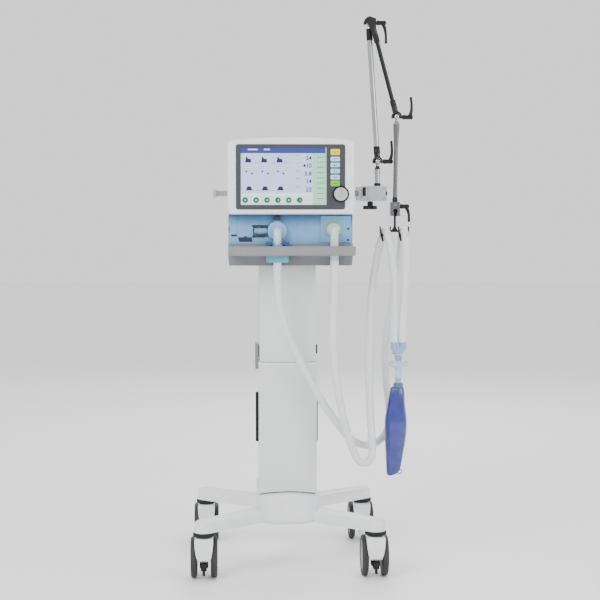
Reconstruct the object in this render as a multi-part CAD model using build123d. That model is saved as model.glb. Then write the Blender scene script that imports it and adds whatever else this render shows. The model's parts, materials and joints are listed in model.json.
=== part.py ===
from build123d import *
import math
import os

# Hospital ventilator on its trolley, in millimetres. +X is to the right as the operator faces
# it, +Y to the back and +Z up. Every piece is drawn about the column's axis, and place() then
# moves it so that the origin lies on the floor under the middle of the machine.

# --- where the origin lies, seen from the column's axis
ORIGIN_X = 44.0
ORIGIN_Y = 33.0

# --- castors
SWIVEL_X = 260.0
SWIVEL_Y = 250.0
WHEEL_RADIUS = 62.5
WHEEL_WIDTH = 20.0
WHEEL_GAP = 41.0
TRAIL = 38.0
AXLE_RADIUS = 6.0
STEM_RADIUS = 10.0
RUNNING_GAP = 0.05
HOOD_TOP = 132.0
HOOD_BOTTOM = 60.0
HOOD_TOP_WIDTH = 56.0
HOOD_MIDDLE_WIDTH = 52.0
HOOD_BOTTOM_WIDTH = 38.0
BUMPER_RADIUS = 33.0
BRAKE_PIN = (14.0, 45.0)
BRAKE_PIN_RADIUS = 3.0

# --- cast base
HUB_BOTTOM = 141.0
LEG_BOTTOM = 147.0
LEG_TOP = 183.0
LEG_END_RADIUS = 29.0
HUB_HALF_WIDTH = 95.0
HUB_FRONT = -150.0
HUB_BACK = 215.0
HUB_SHOULDER = 225.0
HUB_CROWN = 240.0

# --- column
COLUMN_HALF_WIDTH = 87.0
COLUMN_FRONT = -118.0
COLUMN_BACK = 125.0
COLUMN_SHOULDER_FRONT = -92.0
COLUMN_SHOULDER_BACK = 99.0
COVER_WALL = 4.0
LOWER_COVER_STEP = 3.0
COVER_GAP = 3.0
SEAM_HEIGHT = 641.0
CORE_HALF_X = 55.0
CORE_HALF_Y = 75.0
CORE_WALL = 5.0
CORE_FOOT = 200.0
COLUMN_TOP = 947.0
PLATE_FACE = -100.0

# --- tray and handle under the unit, which stands a little to the right of the column
UNIT_BASE = 1013.0
TRAY_X = (-184.0, 196.5)
TRAY_FRONT = -165.0
TRAY_BACK = 165.0
HANDLE_FRONT = -234.0
HANDLE_DEPTH = 24.0
HANDLE_BOTTOM = 979.0
HANDLE_TOP = 1008.0
HANDLE_X = (-184.0, 199.0)

# --- unit
UNIT_HALF_WIDTH = 182.0
UNIT_BACK = 165.0
UNIT_TOP = 1320.0
SHELL_WALL = 5.0
DISPLAY_FRONT = -200.0
DISPLAY_BACK = -128.0
DISPLAY_X = (-185.0, 198.5)
DISPLAY_BOTTOM = 1103.0
DISPLAY_SHOULDER = 1324.0
DISPLAY_CROWN = 1335.0
PANEL_FRONT = -150.0
PANEL_X = (-183.0, 196.0)

# --- display front: X limits and Z limits of each thing set in it
BEZEL_X = (-160.0, 169.0)
BEZEL_Z = (1118.0, 1313.5)
SCREEN_X = (-145.5, 113.0)
SCREEN_Z = (1131.5, 1304.5)
KEY_X = (124.7, 152.8)
KEY_ROWS = {
    "key_silence": (1281.0, 1299.5),
    "key_reset": (1262.3, 1276.3),
    "key_freeze": (1244.6, 1258.6),
    "key_print": (1226.3, 1240.3),
    "key_suction": (1207.7, 1222.3),
    "key_standby": (1187.6, 1205.2),
}
KEY_CLEARANCE = 0.4
KNOB_X = 155.5
KNOB_Z = 1164.0
KNOB_RADIUS = 21.0
KNOB_RING_RADIUS = 25.6
KNOB_SHAFT_RADIUS = 4.0

# --- gas ports
HOSE_RADIUS = 12.25
PORT_Y = -187.0
PORT_BOTTOM = 965.0
ELBOW_RADIUS = 12.8
ELBOW_BORE = 9.0
EXPIRATORY_X = -35.0
EXPIRATORY_Z = 1052.0
VALVE_RADIUS = 29.5
VALVE_FRONT = -172.0
INSPIRATORY_X = 138.0
INSPIRATORY_Z = 1056.0
SEAL_RADIUS = 21.6

# --- side rails, a 25 x 10 mm medical rail
RAIL_X = (220.0, 230.0)
RAIL_Y = (-90.0, 160.0)
RAIL_Z = (1153.5, 1178.5)
STANDOFF_Y = (-25.0, 125.0)

# --- hose arm. The post and the first tube stand in one plane, the rest in the plane in front.
POST_X = 280.0
REAR_PLANE = -62.0
FRONT_PLANE = -80.0
POST_RADIUS = 7.5
TUBE_1_RADIUS = 8.5
TUBE_2_RADIUS = 6.5
TUBE_3_RADIUS = 6.5
BALL_RADIUS = 10.5
RING_BORE = 11.0
RING_RADIUS = 16.0
RING_HALF_WIDTH = 9.0
RING_OPENING = 62.0
NECK_RADIUS = 4.5
LOWER_JOINT = (POST_X, REAR_PLANE, 1265.0)
TOP_JOINT = (251.0, REAR_PLANE, 1691.0)
ELBOW_JOINT = (337.0, FRONT_PLANE, 1403.0)
HOLDER_JOINT = (333.0, FRONT_PLANE, 1112.0)
HOLDER_BALL_RADIUS = 8.0
CLAMP_X = (228.0, 307.0)
CLAMP_Y = (-95.0, -45.0)
CLAMP_Z = (1142.0, 1189.0)
CLAMP_KNOB_X = 257.0
CLAMP_KNOB_Y = -70.0
END_BLOCK_X = (318.0, 348.0)
END_BLOCK_Z = (1096.0, 1140.0)
LEVER_STUD_RADIUS = 3.0
CRADLE_X = (303.0, 360.0)
CRADLE_AXIS_Z = 1051.0
CRADLE_BORE = 14.4
CRADLE_WALL = 3.0
CRADLE_HALF_DEPTH = 7.0

# --- breathing circuit. Each hose runs from the unit's port, over its cradle, to the Y-piece.
HANG_X = 344.5
HANG_Y = -91.0
Y_TOP = 704.0
Y_SPREAD = 13.0
FILTER_TOP = 647.0
FILTER_BOTTOM = 621.0
FILTER_STUB_BOTTOM = 593.0
HOSE_ROUTES = {
    "expiratory_hose": [
        (-35, -187, 965), (-35, -187, 865), (-16, -185, 768), (26, -176, 672), (70, -164, 584),
        (112, -149, 512), (158, -133, 449), (188, -120, 410), (218, -94, 386), (252, -72, 376),
        (286, -52, 384), (312, -35, 406), (326, -25, 442), (324, -21, 496), (313, -22, 580),
        (309, -29, 665), (316, -40, 750), (333, -44, 830), (347, -49, 910), (355, -54, 985),
        (358, -55.5, 1051), (362, -104.5, 1051), (366, -106, 985), (365, -104, 905),
        (360, -99, 825), (357.5, -91, 755), (357.5, -91, 704),
    ],
    "inspiratory_hose": [
        (138, -187, 965), (138, -187, 875), (133, -186, 785), (135, -185, 695), (143, -184, 608),
        (156, -179, 528), (171, -172, 460), (188, -163, 406), (206, -153, 356), (223, -147, 333),
        (250, -139, 336), (262, -132, 363), (259, -124, 418), (254, -112, 500), (253, -98, 600),
        (254, -84, 700), (258, -72, 800), (267, -63, 895), (283, -57, 985), (300, -55.5, 1051),
        (306, -104.5, 1051), (320, -106, 985), (330, -104, 905), (332, -99, 825),
        (331.5, -91, 755), (331.5, -91, 704),
    ],
}


# ------------------------------------------------------------------ drawing helpers
def block(x, y, z):
    """A block between a low and a high limit along each axis."""
    middle = [(low + high) / 2 for low, high in (x, y, z)]
    size = [high - low for low, high in (x, y, z)]
    return Pos(*middle) * Box(*size)


def rod(start, end, radius, end_radius=None):
    """A round bar between two points, or a cone when its end has another radius."""
    axis = Vector(end) - Vector(start)
    plane = Plane(origin=start, z_dir=axis)
    from_start = (Align.CENTER, Align.CENTER, Align.MIN)
    if end_radius is None:
        return plane * Cylinder(radius, axis.length, align=from_start)
    return plane * Cone(radius, end_radius, axis.length, align=from_start)


def ball(centre, radius):
    return Pos(*centre) * Sphere(radius)


def front_prism(outline, y_front, y_back):
    """An outline drawn in X and Z, given depth along Y."""
    plane = Plane(origin=(0, y_back, 0), x_dir=(1, 0, 0), z_dir=(0, -1, 0))
    return extrude(plane * outline, y_back - y_front, dir=(0, -1, 0))


def side_prism(outline, x_left, x_right):
    """An outline drawn in Y and Z, given width along X."""
    plane = Plane(origin=(x_left, 0, 0), x_dir=(0, 1, 0), z_dir=(1, 0, 0))
    return extrude(plane * outline, x_right - x_left, dir=(1, 0, 0))


def plan_prism(outline, z_low, z_high):
    """An outline drawn in X and Y, given height along Z."""
    return extrude(Pos(0, 0, z_low) * outline, z_high - z_low, dir=(0, 0, 1))


def rounded(first, second, radius):
    """A rectangle with round corners, between two limits along each of its own axes."""
    centre = Pos(sum(first) / 2, sum(second) / 2)
    return centre * RectangleRounded(first[1] - first[0], second[1] - second[0], radius)


def polygon(*points):
    return Polygon(*points, align=None)


def tapered_bar(start, start_radius, end, end_radius):
    """The plan outline of a bar that narrows from one round end to the other."""
    axis = Vector(*end) - Vector(*start)
    lean = math.degrees(math.asin((start_radius - end_radius) / axis.length))
    heading = Vector(axis.X, axis.Y).normalized()

    def on_circle(centre, radius, angle):
        return Vector(*centre) + heading.rotate(Axis.Z, angle) * radius

    left = [on_circle(start, start_radius, 90 - lean), on_circle(end, end_radius, 90 - lean)]
    right = [on_circle(start, start_radius, lean - 90), on_circle(end, end_radius, lean - 90)]
    tip = ThreePointArc(right[1], on_circle(end, end_radius, 0), left[1])
    root = ThreePointArc(left[0], on_circle(start, start_radius, 180), right[0])
    return make_face(Line(right[0], right[1]) + tip + Line(left[1], left[0]) + root)


def arched(x_left, x_right, z_low, z_side, z_middle):
    """A front-view outline with upright sides and a top that rises to the middle."""
    sides = Polyline((x_left, z_side), (x_left, z_low), (x_right, z_low), (x_right, z_side))
    crown = ThreePointArc((x_right, z_side), ((x_left + x_right) / 2, z_middle), (x_left, z_side))
    return make_face(sides + crown)


# ------------------------------------------------------------------ base and castors
def base_casting():
    """Hub under the column and four legs, each with a socket for a castor's stem."""
    hub_plan = rounded((-HUB_HALF_WIDTH, HUB_HALF_WIDTH), (HUB_FRONT, HUB_BACK), 62)
    hub = plan_prism(hub_plan, HUB_BOTTOM, HUB_CROWN)
    hub = fillet(hub.faces().sort_by(Axis.Z)[0].edges(), 22)
    reach = HUB_HALF_WIDTH + 10
    crown = arched(-reach, reach, HUB_BOTTOM - 10, HUB_SHOULDER - 3, HUB_CROWN)
    hub = hub & front_prism(crown, HUB_FRONT - 10, HUB_BACK + 10)
    casting = hub
    for side in (-1, 1):
        legs = (
            ((side * 40, -40), 40, (side * SWIVEL_X, -SWIVEL_Y)),
            ((side * 40, 100), 38, (side * SWIVEL_X, SWIVEL_Y)),
        )
        for root, root_radius, tip in legs:
            leg = plan_prism(tapered_bar(root, root_radius, tip, LEG_END_RADIUS), LEG_BOTTOM, LEG_TOP)
            leg = fillet(leg.faces().sort_by(Axis.Z)[-1].edges(), 14)
            casting = casting + leg
    casting = casting - block((-CORE_HALF_X, CORE_HALF_X), (-CORE_HALF_Y, CORE_HALF_Y), (CORE_FOOT, HUB_CROWN))
    for x, y in swivel_axes().values():
        casting = casting - rod((x, y, LEG_BOTTOM), (x, y, LEG_BOTTOM + 30), STEM_RADIUS + RUNNING_GAP)
    return casting


def swivel_axes():
    """Where each castor's swivel axis stands."""
    return {
        "front_left": (-SWIVEL_X, -SWIVEL_Y),
        "front_right": (SWIVEL_X, -SWIVEL_Y),
        "rear_left": (-SWIVEL_X, SWIVEL_Y),
        "rear_right": (SWIVEL_X, SWIVEL_Y),
    }


def bumper_ring():
    """Rubber ring that closes the joint between a leg and its castor."""
    ring = rod((0, 0, HOOD_TOP + 2), (0, 0, LEG_BOTTOM), BUMPER_RADIUS)
    ring = fillet(ring.edges(), 5)
    return ring - rod((0, 0, HOOD_TOP), (0, 0, LEG_BOTTOM), STEM_RADIUS + 2)


def caster_hood(with_brake):
    """Body of a castor about its swivel axis: hood, web that carries the axle, and stem."""
    half_top, half_middle, half_bottom = HOOD_TOP_WIDTH / 2, HOOD_MIDDLE_WIDTH / 2, HOOD_BOTTOM_WIDTH / 2
    middle = (HOOD_TOP + HOOD_BOTTOM) / 2
    top_edge = Line((-half_top, HOOD_TOP), (half_top, HOOD_TOP))
    right_edge = ThreePointArc((half_top, HOOD_TOP), (half_middle, middle), (half_bottom, HOOD_BOTTOM))
    bottom_edge = Line((half_bottom, HOOD_BOTTOM), (-half_bottom, HOOD_BOTTOM))
    left_edge = ThreePointArc((-half_bottom, HOOD_BOTTOM), (-half_middle, middle), (-half_top, HOOD_TOP))
    front_view = fillet(make_face(top_edge + right_edge + bottom_edge + left_edge).vertices(), 7)
    side_view = polygon(
        (-29, HOOD_TOP), (44, HOOD_TOP), (80, 96), (78, HOOD_BOTTOM), (-24, HOOD_BOTTOM), (-31, 100),
    )
    side_view = fillet(side_view.vertices(), 8)
    hood = front_prism(front_view, -40, 90) & side_prism(side_view, -40, 40)
    web_height = (20, 110) if not with_brake else (36, 110)
    web = block((-7, 7), (-2, 52), web_height)
    hood = hood + web
    for side in (-1, 1):
        wheel_inner = side * (WHEEL_GAP / 2 - 1)
        wheel_outer = side * (WHEEL_GAP / 2 + WHEEL_WIDTH + 2)
        hood = hood - rod((wheel_inner, TRAIL, WHEEL_RADIUS), (wheel_outer, TRAIL, WHEEL_RADIUS), WHEEL_RADIUS + 2)
    hood = hood - rod((-40, TRAIL, WHEEL_RADIUS), (40, TRAIL, WHEEL_RADIUS), AXLE_RADIUS + RUNNING_GAP)
    hood = hood + rod((0, 0, HOOD_TOP - 5), (0, 0, LEG_BOTTOM + 28), STEM_RADIUS)
    if with_brake:
        y, z = BRAKE_PIN
        hood = hood - rod((-20, y, z), (20, y, z), BRAKE_PIN_RADIUS + RUNNING_GAP)
    return hood


def caster_wheels():
    """The pair of wheels on their axle, turning as one."""
    pair = rod((-WHEEL_GAP / 2, TRAIL, WHEEL_RADIUS), (WHEEL_GAP / 2, TRAIL, WHEEL_RADIUS), AXLE_RADIUS)
    for side in (-1, 1):
        inner = side * WHEEL_GAP / 2
        outer = inner + side * WHEEL_WIDTH
        wheel = rod((inner, TRAIL, WHEEL_RADIUS), (outer, TRAIL, WHEEL_RADIUS), WHEEL_RADIUS)
        wheel = fillet(wheel.edges(), 6)
        dish = rod((outer - side * 4, TRAIL, WHEEL_RADIUS), (outer, TRAIL, WHEEL_RADIUS), 44)
        cap = rod((outer - side * 5, TRAIL, WHEEL_RADIUS), (outer - side, TRAIL, WHEEL_RADIUS), 14)
        pair = pair + (wheel - dish) + cap
    return pair


def brake_lever():
    """Foot pedal between the front wheels, hinged on a pin through the hood's web."""
    y, z = BRAKE_PIN
    pedal = side_prism(polygon((-34, 54), (-8, 55), (-8, 34), (-30, 34)), -9, 9)
    toe = block((-4, 4), (-32, -24), (20, 36))
    lever = pedal + toe
    for side in (-1, 1):
        inner, outer = sorted((side * 7.8, side * 13))
        lever = lever + block((inner, outer), (-10, y + 6), (z - 6, z + 6))
    return lever + rod((-13, y, z), (13, y, z), BRAKE_PIN_RADIUS)


# ------------------------------------------------------------------ column
def column_plan(growth=0.0):
    """Outline of the column from above, bowed at the front and back."""
    half = COLUMN_HALF_WIDTH + growth
    front_arc = ThreePointArc(
        (-half, COLUMN_SHOULDER_FRONT - growth), (0, COLUMN_FRONT - growth), (half, COLUMN_SHOULDER_FRONT - growth)
    )
    back_arc = ThreePointArc(
        (half, COLUMN_SHOULDER_BACK + growth), (0, COLUMN_BACK + growth), (-half, COLUMN_SHOULDER_BACK + growth)
    )
    right = Line((half, COLUMN_SHOULDER_FRONT - growth), (half, COLUMN_SHOULDER_BACK + growth))
    left = Line((-half, COLUMN_SHOULDER_BACK + growth), (-half, COLUMN_SHOULDER_FRONT - growth))
    return make_face(front_arc + right + back_arc + left)


def cover_skin(growth, z_low, z_high, y_limits):
    """A length of the column's hollow skin, cut to a stretch of Y."""
    skin = plan_prism(column_plan(growth) - column_plan(growth - COVER_WALL), z_low, z_high)
    return skin & block((-200, 200), y_limits, (z_low, z_high))


def column_core():
    """Rectangular tube that carries the tray and stands in the hub."""
    outer = block((-CORE_HALF_X, CORE_HALF_X), (-CORE_HALF_Y, CORE_HALF_Y), (CORE_FOOT, COLUMN_TOP))
    inner_x = CORE_HALF_X - CORE_WALL
    inner_y = CORE_HALF_Y - CORE_WALL
    return outer - block((-inner_x, inner_x), (-inner_y, inner_y), (CORE_FOOT, COLUMN_TOP))


def column_upper_cover():
    return cover_skin(0, SEAM_HEIGHT + 4, COLUMN_TOP, (-200, 0))


def column_lower_cover():
    """Front cover below the seam, a little wider, with an arched foot over the hub."""
    foot = HUB_SHOULDER + COVER_GAP - 6
    cover = cover_skin(LOWER_COVER_STEP, foot, SEAM_HEIGHT, (-200, 0))
    reach = HUB_HALF_WIDTH + 10
    lifted = arched(-reach, reach, foot - 10, HUB_SHOULDER + COVER_GAP - 1, HUB_CROWN + COVER_GAP)
    cover = cover - front_prism(lifted, -200, 10)
    ledge = cover_skin(LOWER_COVER_STEP, SEAM_HEIGHT, SEAM_HEIGHT + 3, (-200, 0))
    return cover + ledge


def column_rear_cover():
    return cover_skin(0, HUB_CROWN + COVER_GAP, COLUMN_TOP, (1, 200))


def accessory_plate():
    """Plate on the column's left side with four tapped holes for accessories."""
    plate = side_prism(rounded((-40, 40), (616, 695), 6), PLATE_FACE, PLATE_FACE + 9.8)
    plate = plate + block((PLATE_FACE + 9.8, -COLUMN_HALF_WIDTH), (-30, -5), (652, 690))
    for y in (-25, 25):
        for z in (630.5, 680.5):
            plate = plate - rod((PLATE_FACE - 1, y, z), (PLATE_FACE + 6.5, y, z), 2.5)
    return plate


def column_side_strips():
    """Bumper strips low on both sides of the column, and a small clip high on the right."""
    inner = COLUMN_HALF_WIDTH + LOWER_COVER_STEP + 0.1
    strips = side_prism(rounded((-42, -12), (386, 542), 10), -inner - 9, -inner)
    strips = strips + side_prism(rounded((-42, -12), (386, 542), 10), inner, inner + 6)
    return strips + side_prism(rounded((-32, -12), (663, 692), 6), COLUMN_HALF_WIDTH, COLUMN_HALF_WIDTH + 8)


# ------------------------------------------------------------------ tray and handle
def tray():
    """Shallow cast tray on top of the column, which the unit stands on."""
    left, right = TRAY_X
    profile = polygon(
        (left + 3, COLUMN_TOP), (right - 3, COLUMN_TOP), (right, COLUMN_TOP + 26),
        (right, UNIT_BASE), (left, UNIT_BASE), (left, COLUMN_TOP + 26),
    )
    body = front_prism(profile, TRAY_FRONT, TRAY_BACK)
    body = fillet(body.edges().filter_by(Axis.Z), 8)
    wall = 8
    pocket = block((left + wall, right - wall), (TRAY_FRONT + wall, TRAY_BACK - wall), (COLUMN_TOP + wall, UNIT_BASE))
    return body - pocket


def front_handle():
    """Push bar across the front of the tray, on an arm at each end."""
    bar_profile = rounded((HANDLE_FRONT, HANDLE_FRONT + HANDLE_DEPTH), (HANDLE_BOTTOM, HANDLE_TOP), 9)
    handle = side_prism(bar_profile, *HANDLE_X)
    left, right = HANDLE_X
    for arm_x in ((left + 6, left + 20), (right - 20, right - 6)):
        handle = handle + block(arm_x, (HANDLE_FRONT + HANDLE_DEPTH - 6, TRAY_FRONT), (983, 1004))
    return handle


# ------------------------------------------------------------------ unit
def display_housing():
    """Front shell of the unit, arched on top: a window for the display frame, an open back."""
    outline = arched(*DISPLAY_X, DISPLAY_BOTTOM, DISPLAY_SHOULDER, DISPLAY_CROWN)
    shell = front_prism(fillet(outline.vertices(), 14), DISPLAY_FRONT, DISPLAY_BACK)
    shell = fillet(shell.faces().sort_by(Axis.Y)[0].edges(), 8)
    inner = arched(
        DISPLAY_X[0] + SHELL_WALL, DISPLAY_X[1] - SHELL_WALL, DISPLAY_BOTTOM + SHELL_WALL,
        DISPLAY_SHOULDER - SHELL_WALL, DISPLAY_CROWN - SHELL_WALL,
    )
    shell = shell - front_prism(inner, DISPLAY_FRONT + 10, DISPLAY_BACK - 4)
    way_through = rounded((-170, 170), (DISPLAY_BOTTOM + 12, 1306), 6)
    shell = shell - front_prism(way_through, DISPLAY_BACK - 5, DISPLAY_BACK + 1)
    return shell - front_prism(display_frame_outline(0.2), DISPLAY_FRONT - 1, DISPLAY_FRONT + 11)


def display_frame_outline(growth=0.0):
    """The dark frame from the front: a rectangle with a round lobe for the knob."""
    plate = rounded(
        (BEZEL_X[0] - growth, BEZEL_X[1] + growth), (BEZEL_Z[0] - growth, BEZEL_Z[1] + growth), 7
    )
    return plate + Pos(KNOB_X, KNOB_Z) * Circle(KNOB_RING_RADIUS + growth)


def display_frame():
    """Dark bezel that holds the screen, the keys and the knob."""
    front = DISPLAY_FRONT - 1.5
    back = DISPLAY_FRONT + 9
    frame = front_prism(display_frame_outline(), front, back)
    screen_window = rounded((SCREEN_X[0], SCREEN_X[1]), (SCREEN_Z[0], SCREEN_Z[1]), 2)
    frame = frame - front_prism(screen_window, front - 1, back + 1)
    for z_low, z_high in KEY_ROWS.values():
        slot = key_outline(z_low, z_high, KEY_CLEARANCE)
        frame = frame - front_prism(slot, front - 1, back + 1)
    shaft_hole = rod((KNOB_X, front - 1, KNOB_Z), (KNOB_X, back + 1, KNOB_Z), KNOB_SHAFT_RADIUS + RUNNING_GAP)
    return frame - shaft_hole


def key_outline(z_low, z_high, growth=0.0):
    return rounded((KEY_X[0] - growth, KEY_X[1] + growth), (z_low - growth, z_high + growth), 3)


def touch_screen():
    glass = rounded((SCREEN_X[0] + 0.1, SCREEN_X[1] - 0.1), (SCREEN_Z[0] + 0.1, SCREEN_Z[1] - 0.1), 2)
    return front_prism(glass, DISPLAY_FRONT + 0.5, DISPLAY_FRONT + 6)


def key(name):
    z_low, z_high = KEY_ROWS[name]
    return front_prism(key_outline(z_low, z_high), DISPLAY_FRONT - 4, DISPLAY_FRONT + 7.5)


def rotary_knob():
    """Rotary selector on its encoder shaft."""
    front = DISPLAY_FRONT - 22
    cap = rod((KNOB_X, front, KNOB_Z), (KNOB_X, DISPLAY_FRONT - 2, KNOB_Z), KNOB_RADIUS)
    cap = fillet(cap.faces().sort_by(Axis.Y)[0].edges(), 4)
    shaft = rod((KNOB_X, DISPLAY_FRONT - 5, KNOB_Z), (KNOB_X, DISPLAY_FRONT + 8, KNOB_Z), KNOB_SHAFT_RADIUS)
    return cap + shaft


def rear_housing():
    """Main case of the unit, open to the front, where the display and front panel close it."""
    outline = rounded((-UNIT_HALF_WIDTH, UNIT_HALF_WIDTH), (UNIT_BASE, UNIT_TOP), 12)
    case = front_prism(outline, DISPLAY_BACK, UNIT_BACK)
    wall = SHELL_WALL
    inner = rounded(
        (-UNIT_HALF_WIDTH + wall, UNIT_HALF_WIDTH - wall), (UNIT_BASE + wall, UNIT_TOP - wall), 8
    )
    case = case - front_prism(inner, DISPLAY_BACK - 1, UNIT_BACK - wall)
    return case - front_prism(rounded((-150, 150), (1040, 1150), 4), UNIT_BACK - wall - 1, UNIT_BACK + 1)


def front_panel():
    """Blue gas panel under the display, with its port holes and the pockets at its left."""
    outline = rounded(PANEL_X, (UNIT_BASE, DISPLAY_BOTTOM), 5)
    panel = front_prism(outline, PANEL_FRONT, DISPLAY_BACK)
    panel = panel - front_prism(rounded((-108, -60), (1034, 1070), 3), PANEL_FRONT - 1, PANEL_FRONT + 12)
    trapezoid = polygon((-152, 1032), (-112, 1032), (-110, 1019), (-150, 1019))
    panel = panel - front_prism(trapezoid, PANEL_FRONT - 1, PANEL_FRONT + 12)
    panel = panel - front_prism(rounded((-174, -157), (1036, 1041), 1), PANEL_FRONT - 1, PANEL_FRONT + 10)
    valve_seat = rod((EXPIRATORY_X, PANEL_FRONT - 1, EXPIRATORY_Z), (EXPIRATORY_X, DISPLAY_BACK, EXPIRATORY_Z), 22)
    port_seat = rod((INSPIRATORY_X, PANEL_FRONT - 1, INSPIRATORY_Z), (INSPIRATORY_X, DISPLAY_BACK, INSPIRATORY_Z), 12)
    return panel - valve_seat - port_seat


def sensor_cover():
    """Screwed cover on the right of the gas panel, round the inspiratory port."""
    cover = front_prism(rounded((98, 190), (1017, 1097), 4), PANEL_FRONT - 3, PANEL_FRONT)
    port = rod((INSPIRATORY_X, PANEL_FRONT - 4, INSPIRATORY_Z), (INSPIRATORY_X, PANEL_FRONT, INSPIRATORY_Z), 22)
    cover = cover - port
    for z in (1025, 1059):
        cover = cover + rod((182, PANEL_FRONT - 5, z), (182, PANEL_FRONT - 3, z), 3.5)
    return cover


def expiratory_valve():
    """Round valve head that plugs into the gas panel."""
    x, z = EXPIRATORY_X, EXPIRATORY_Z
    head = rod((x, VALVE_FRONT, z), (x, PANEL_FRONT, z), VALVE_RADIUS)
    head = fillet(head.faces().sort_by(Axis.Y)[0].edges(), 5)
    plug = rod((x, PANEL_FRONT, z), (x, DISPLAY_BACK, z), 22)
    latch = block((x - 10, x + 10), (PANEL_FRONT - 15, PANEL_FRONT), (1079, 1097))
    return head + plug + latch


def flow_sensor():
    """Flow sensor lying in its pocket at the valve's left."""
    y = PANEL_FRONT - 2
    tube = rod((-104, y, EXPIRATORY_Z), (-66.5, y, EXPIRATORY_Z), 9.5)
    rib = rod((-92, y, EXPIRATORY_Z), (-86, y, EXPIRATORY_Z), 11)
    return tube + rib - rod((-105, y, EXPIRATORY_Z), (-66, y, EXPIRATORY_Z), 7)


def elbow(x, z, y_start):
    """Hose elbow that leaves a port forwards and turns straight down."""
    bend = (x, PORT_Y, z)
    outer = rod((x, y_start, z), bend, ELBOW_RADIUS) + ball(bend, ELBOW_RADIUS)
    outer = outer + rod(bend, (x, PORT_Y, PORT_BOTTOM), ELBOW_RADIUS)
    inner = rod((x, y_start, z), bend, ELBOW_BORE) + ball(bend, ELBOW_BORE)
    inner = inner + rod(bend, (x, PORT_Y, PORT_BOTTOM), ELBOW_BORE)
    return outer - inner


def inspiratory_elbow():
    """Elbow of the outgoing gas, with its seal ring and the plug that seats in the panel."""
    x, z = INSPIRATORY_X, INSPIRATORY_Z
    seal = rod((x, PANEL_FRONT - 9, z), (x, PANEL_FRONT, z), SEAL_RADIUS)
    plug = rod((x, PANEL_FRONT, z), (x, DISPLAY_BACK, z), 12)
    gas_way = rod((x, PANEL_FRONT - 9, z), (x, DISPLAY_BACK, z), ELBOW_BORE)
    return elbow(x, z, PANEL_FRONT - 9) + (seal + plug - gas_way)


def elbow_holder():
    """Holder on the tray's front that steadies the expiratory elbow behind the push bar."""
    x = EXPIRATORY_X
    plan = rounded((x - 35, x + 35), (-207, TRAY_FRONT), 14)
    holder = plan_prism(plan, 958, 1012)
    return holder - rod((x, PORT_Y, 957), (x, PORT_Y, 1013), ELBOW_RADIUS + 0.4)


def side_rails():
    """Two medical rails, each on a pair of standoffs from the case."""
    rails = None
    for side in (-1, 1):
        x_limits = sorted((side * RAIL_X[0], side * RAIL_X[1]))
        rail = block(x_limits, RAIL_Y, RAIL_Z)
        for y in STANDOFF_Y:
            foot = sorted((side * UNIT_HALF_WIDTH, side * RAIL_X[0]))
            rail = rail + block(foot, (y - 11, y + 11), (RAIL_Z[0] + 4, RAIL_Z[1] - 4))
        rails = rail if rails is None else rails + rail
    return rails


# ------------------------------------------------------------------ inside the unit
BLOWER = (70.0, 60.0, 1120.0)


def blower_housing():
    """Drum of the blower, open on top where the air is drawn in."""
    x, y, z = BLOWER
    drum = rod((x, y, z - 27), (x, y, z + 27), 48) - rod((x, y, z - 22), (x, y, z + 22), 43)
    drum = drum - rod((x, y, z), (x, y, z + 28), 20) - rod((x, y, z - 28), (x, y, z), 4 + RUNNING_GAP)
    foot = block((x - 30, x + 30), (y - 30, y + 30), (UNIT_BASE + SHELL_WALL, z - 40))
    legs = [rod((x + 25 * i, y, z - 40), (x + 25 * i, y, z - 27), 6) for i in (-1, 1)]
    return drum + foot + legs[0] + legs[1]


def blower_impeller():
    x, y, z = BLOWER
    wheel = rod((x, y, z - 18), (x, y, z - 14), 40)
    for step in range(9):
        vane = Pos(x, y, z - 5) * Rot(0, 0, 40 * step) * Pos(26, 0, 0) * Rot(0, 0, 25) * Box(22, 2, 22)
        wheel = wheel + vane
    return wheel + rod((x, y, z - 32), (x, y, z - 10), 4) + rod((x, y, z - 14), (x, y, z + 4), 12)


def main_board():
    """Processor board on standoffs from the case floor, with its tall components."""
    board = block((-160, -20), (-60, -57), (UNIT_BASE + SHELL_WALL, 1290))
    for x, z, size in ((-130, 1240, 14), (-90, 1180, 18), (-50, 1240, 12)):
        board = board + block((x - size, x + size), (-57, -45), (z - size, z + size))
    return board


def battery_pack():
    return block((-160, -30), (60, 150), (UNIT_BASE + SHELL_WALL, 1090))


def connector_panel():
    """Back plate with the mains inlet and the threaded oxygen inlet."""
    plate = front_prism(rounded((-155, 155), (1035, 1155), 6), UNIT_BACK, UNIT_BACK + 4)
    plate = plate + front_prism(rounded((-149.5, 149.5), (1040.5, 1149.5), 4), UNIT_BACK - SHELL_WALL, UNIT_BACK)
    inlet = block((-130, -80), (UNIT_BACK + 4, UNIT_BACK + 12), (1060, 1088))
    inlet = inlet - block((-125, -85), (UNIT_BACK - 8, UNIT_BACK + 13), (1064, 1084))
    plate = plate - block((-125, -85), (UNIT_BACK - 2, UNIT_BACK + 13), (1064, 1084)) + inlet
    thread = rod((110, UNIT_BACK + 4, 1075), (110, UNIT_BACK + 22, 1075), 7.15)
    flange = rod((110, UNIT_BACK + 4, 1075), (110, UNIT_BACK + 7, 1075), 13)
    return plate + flange + thread


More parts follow.
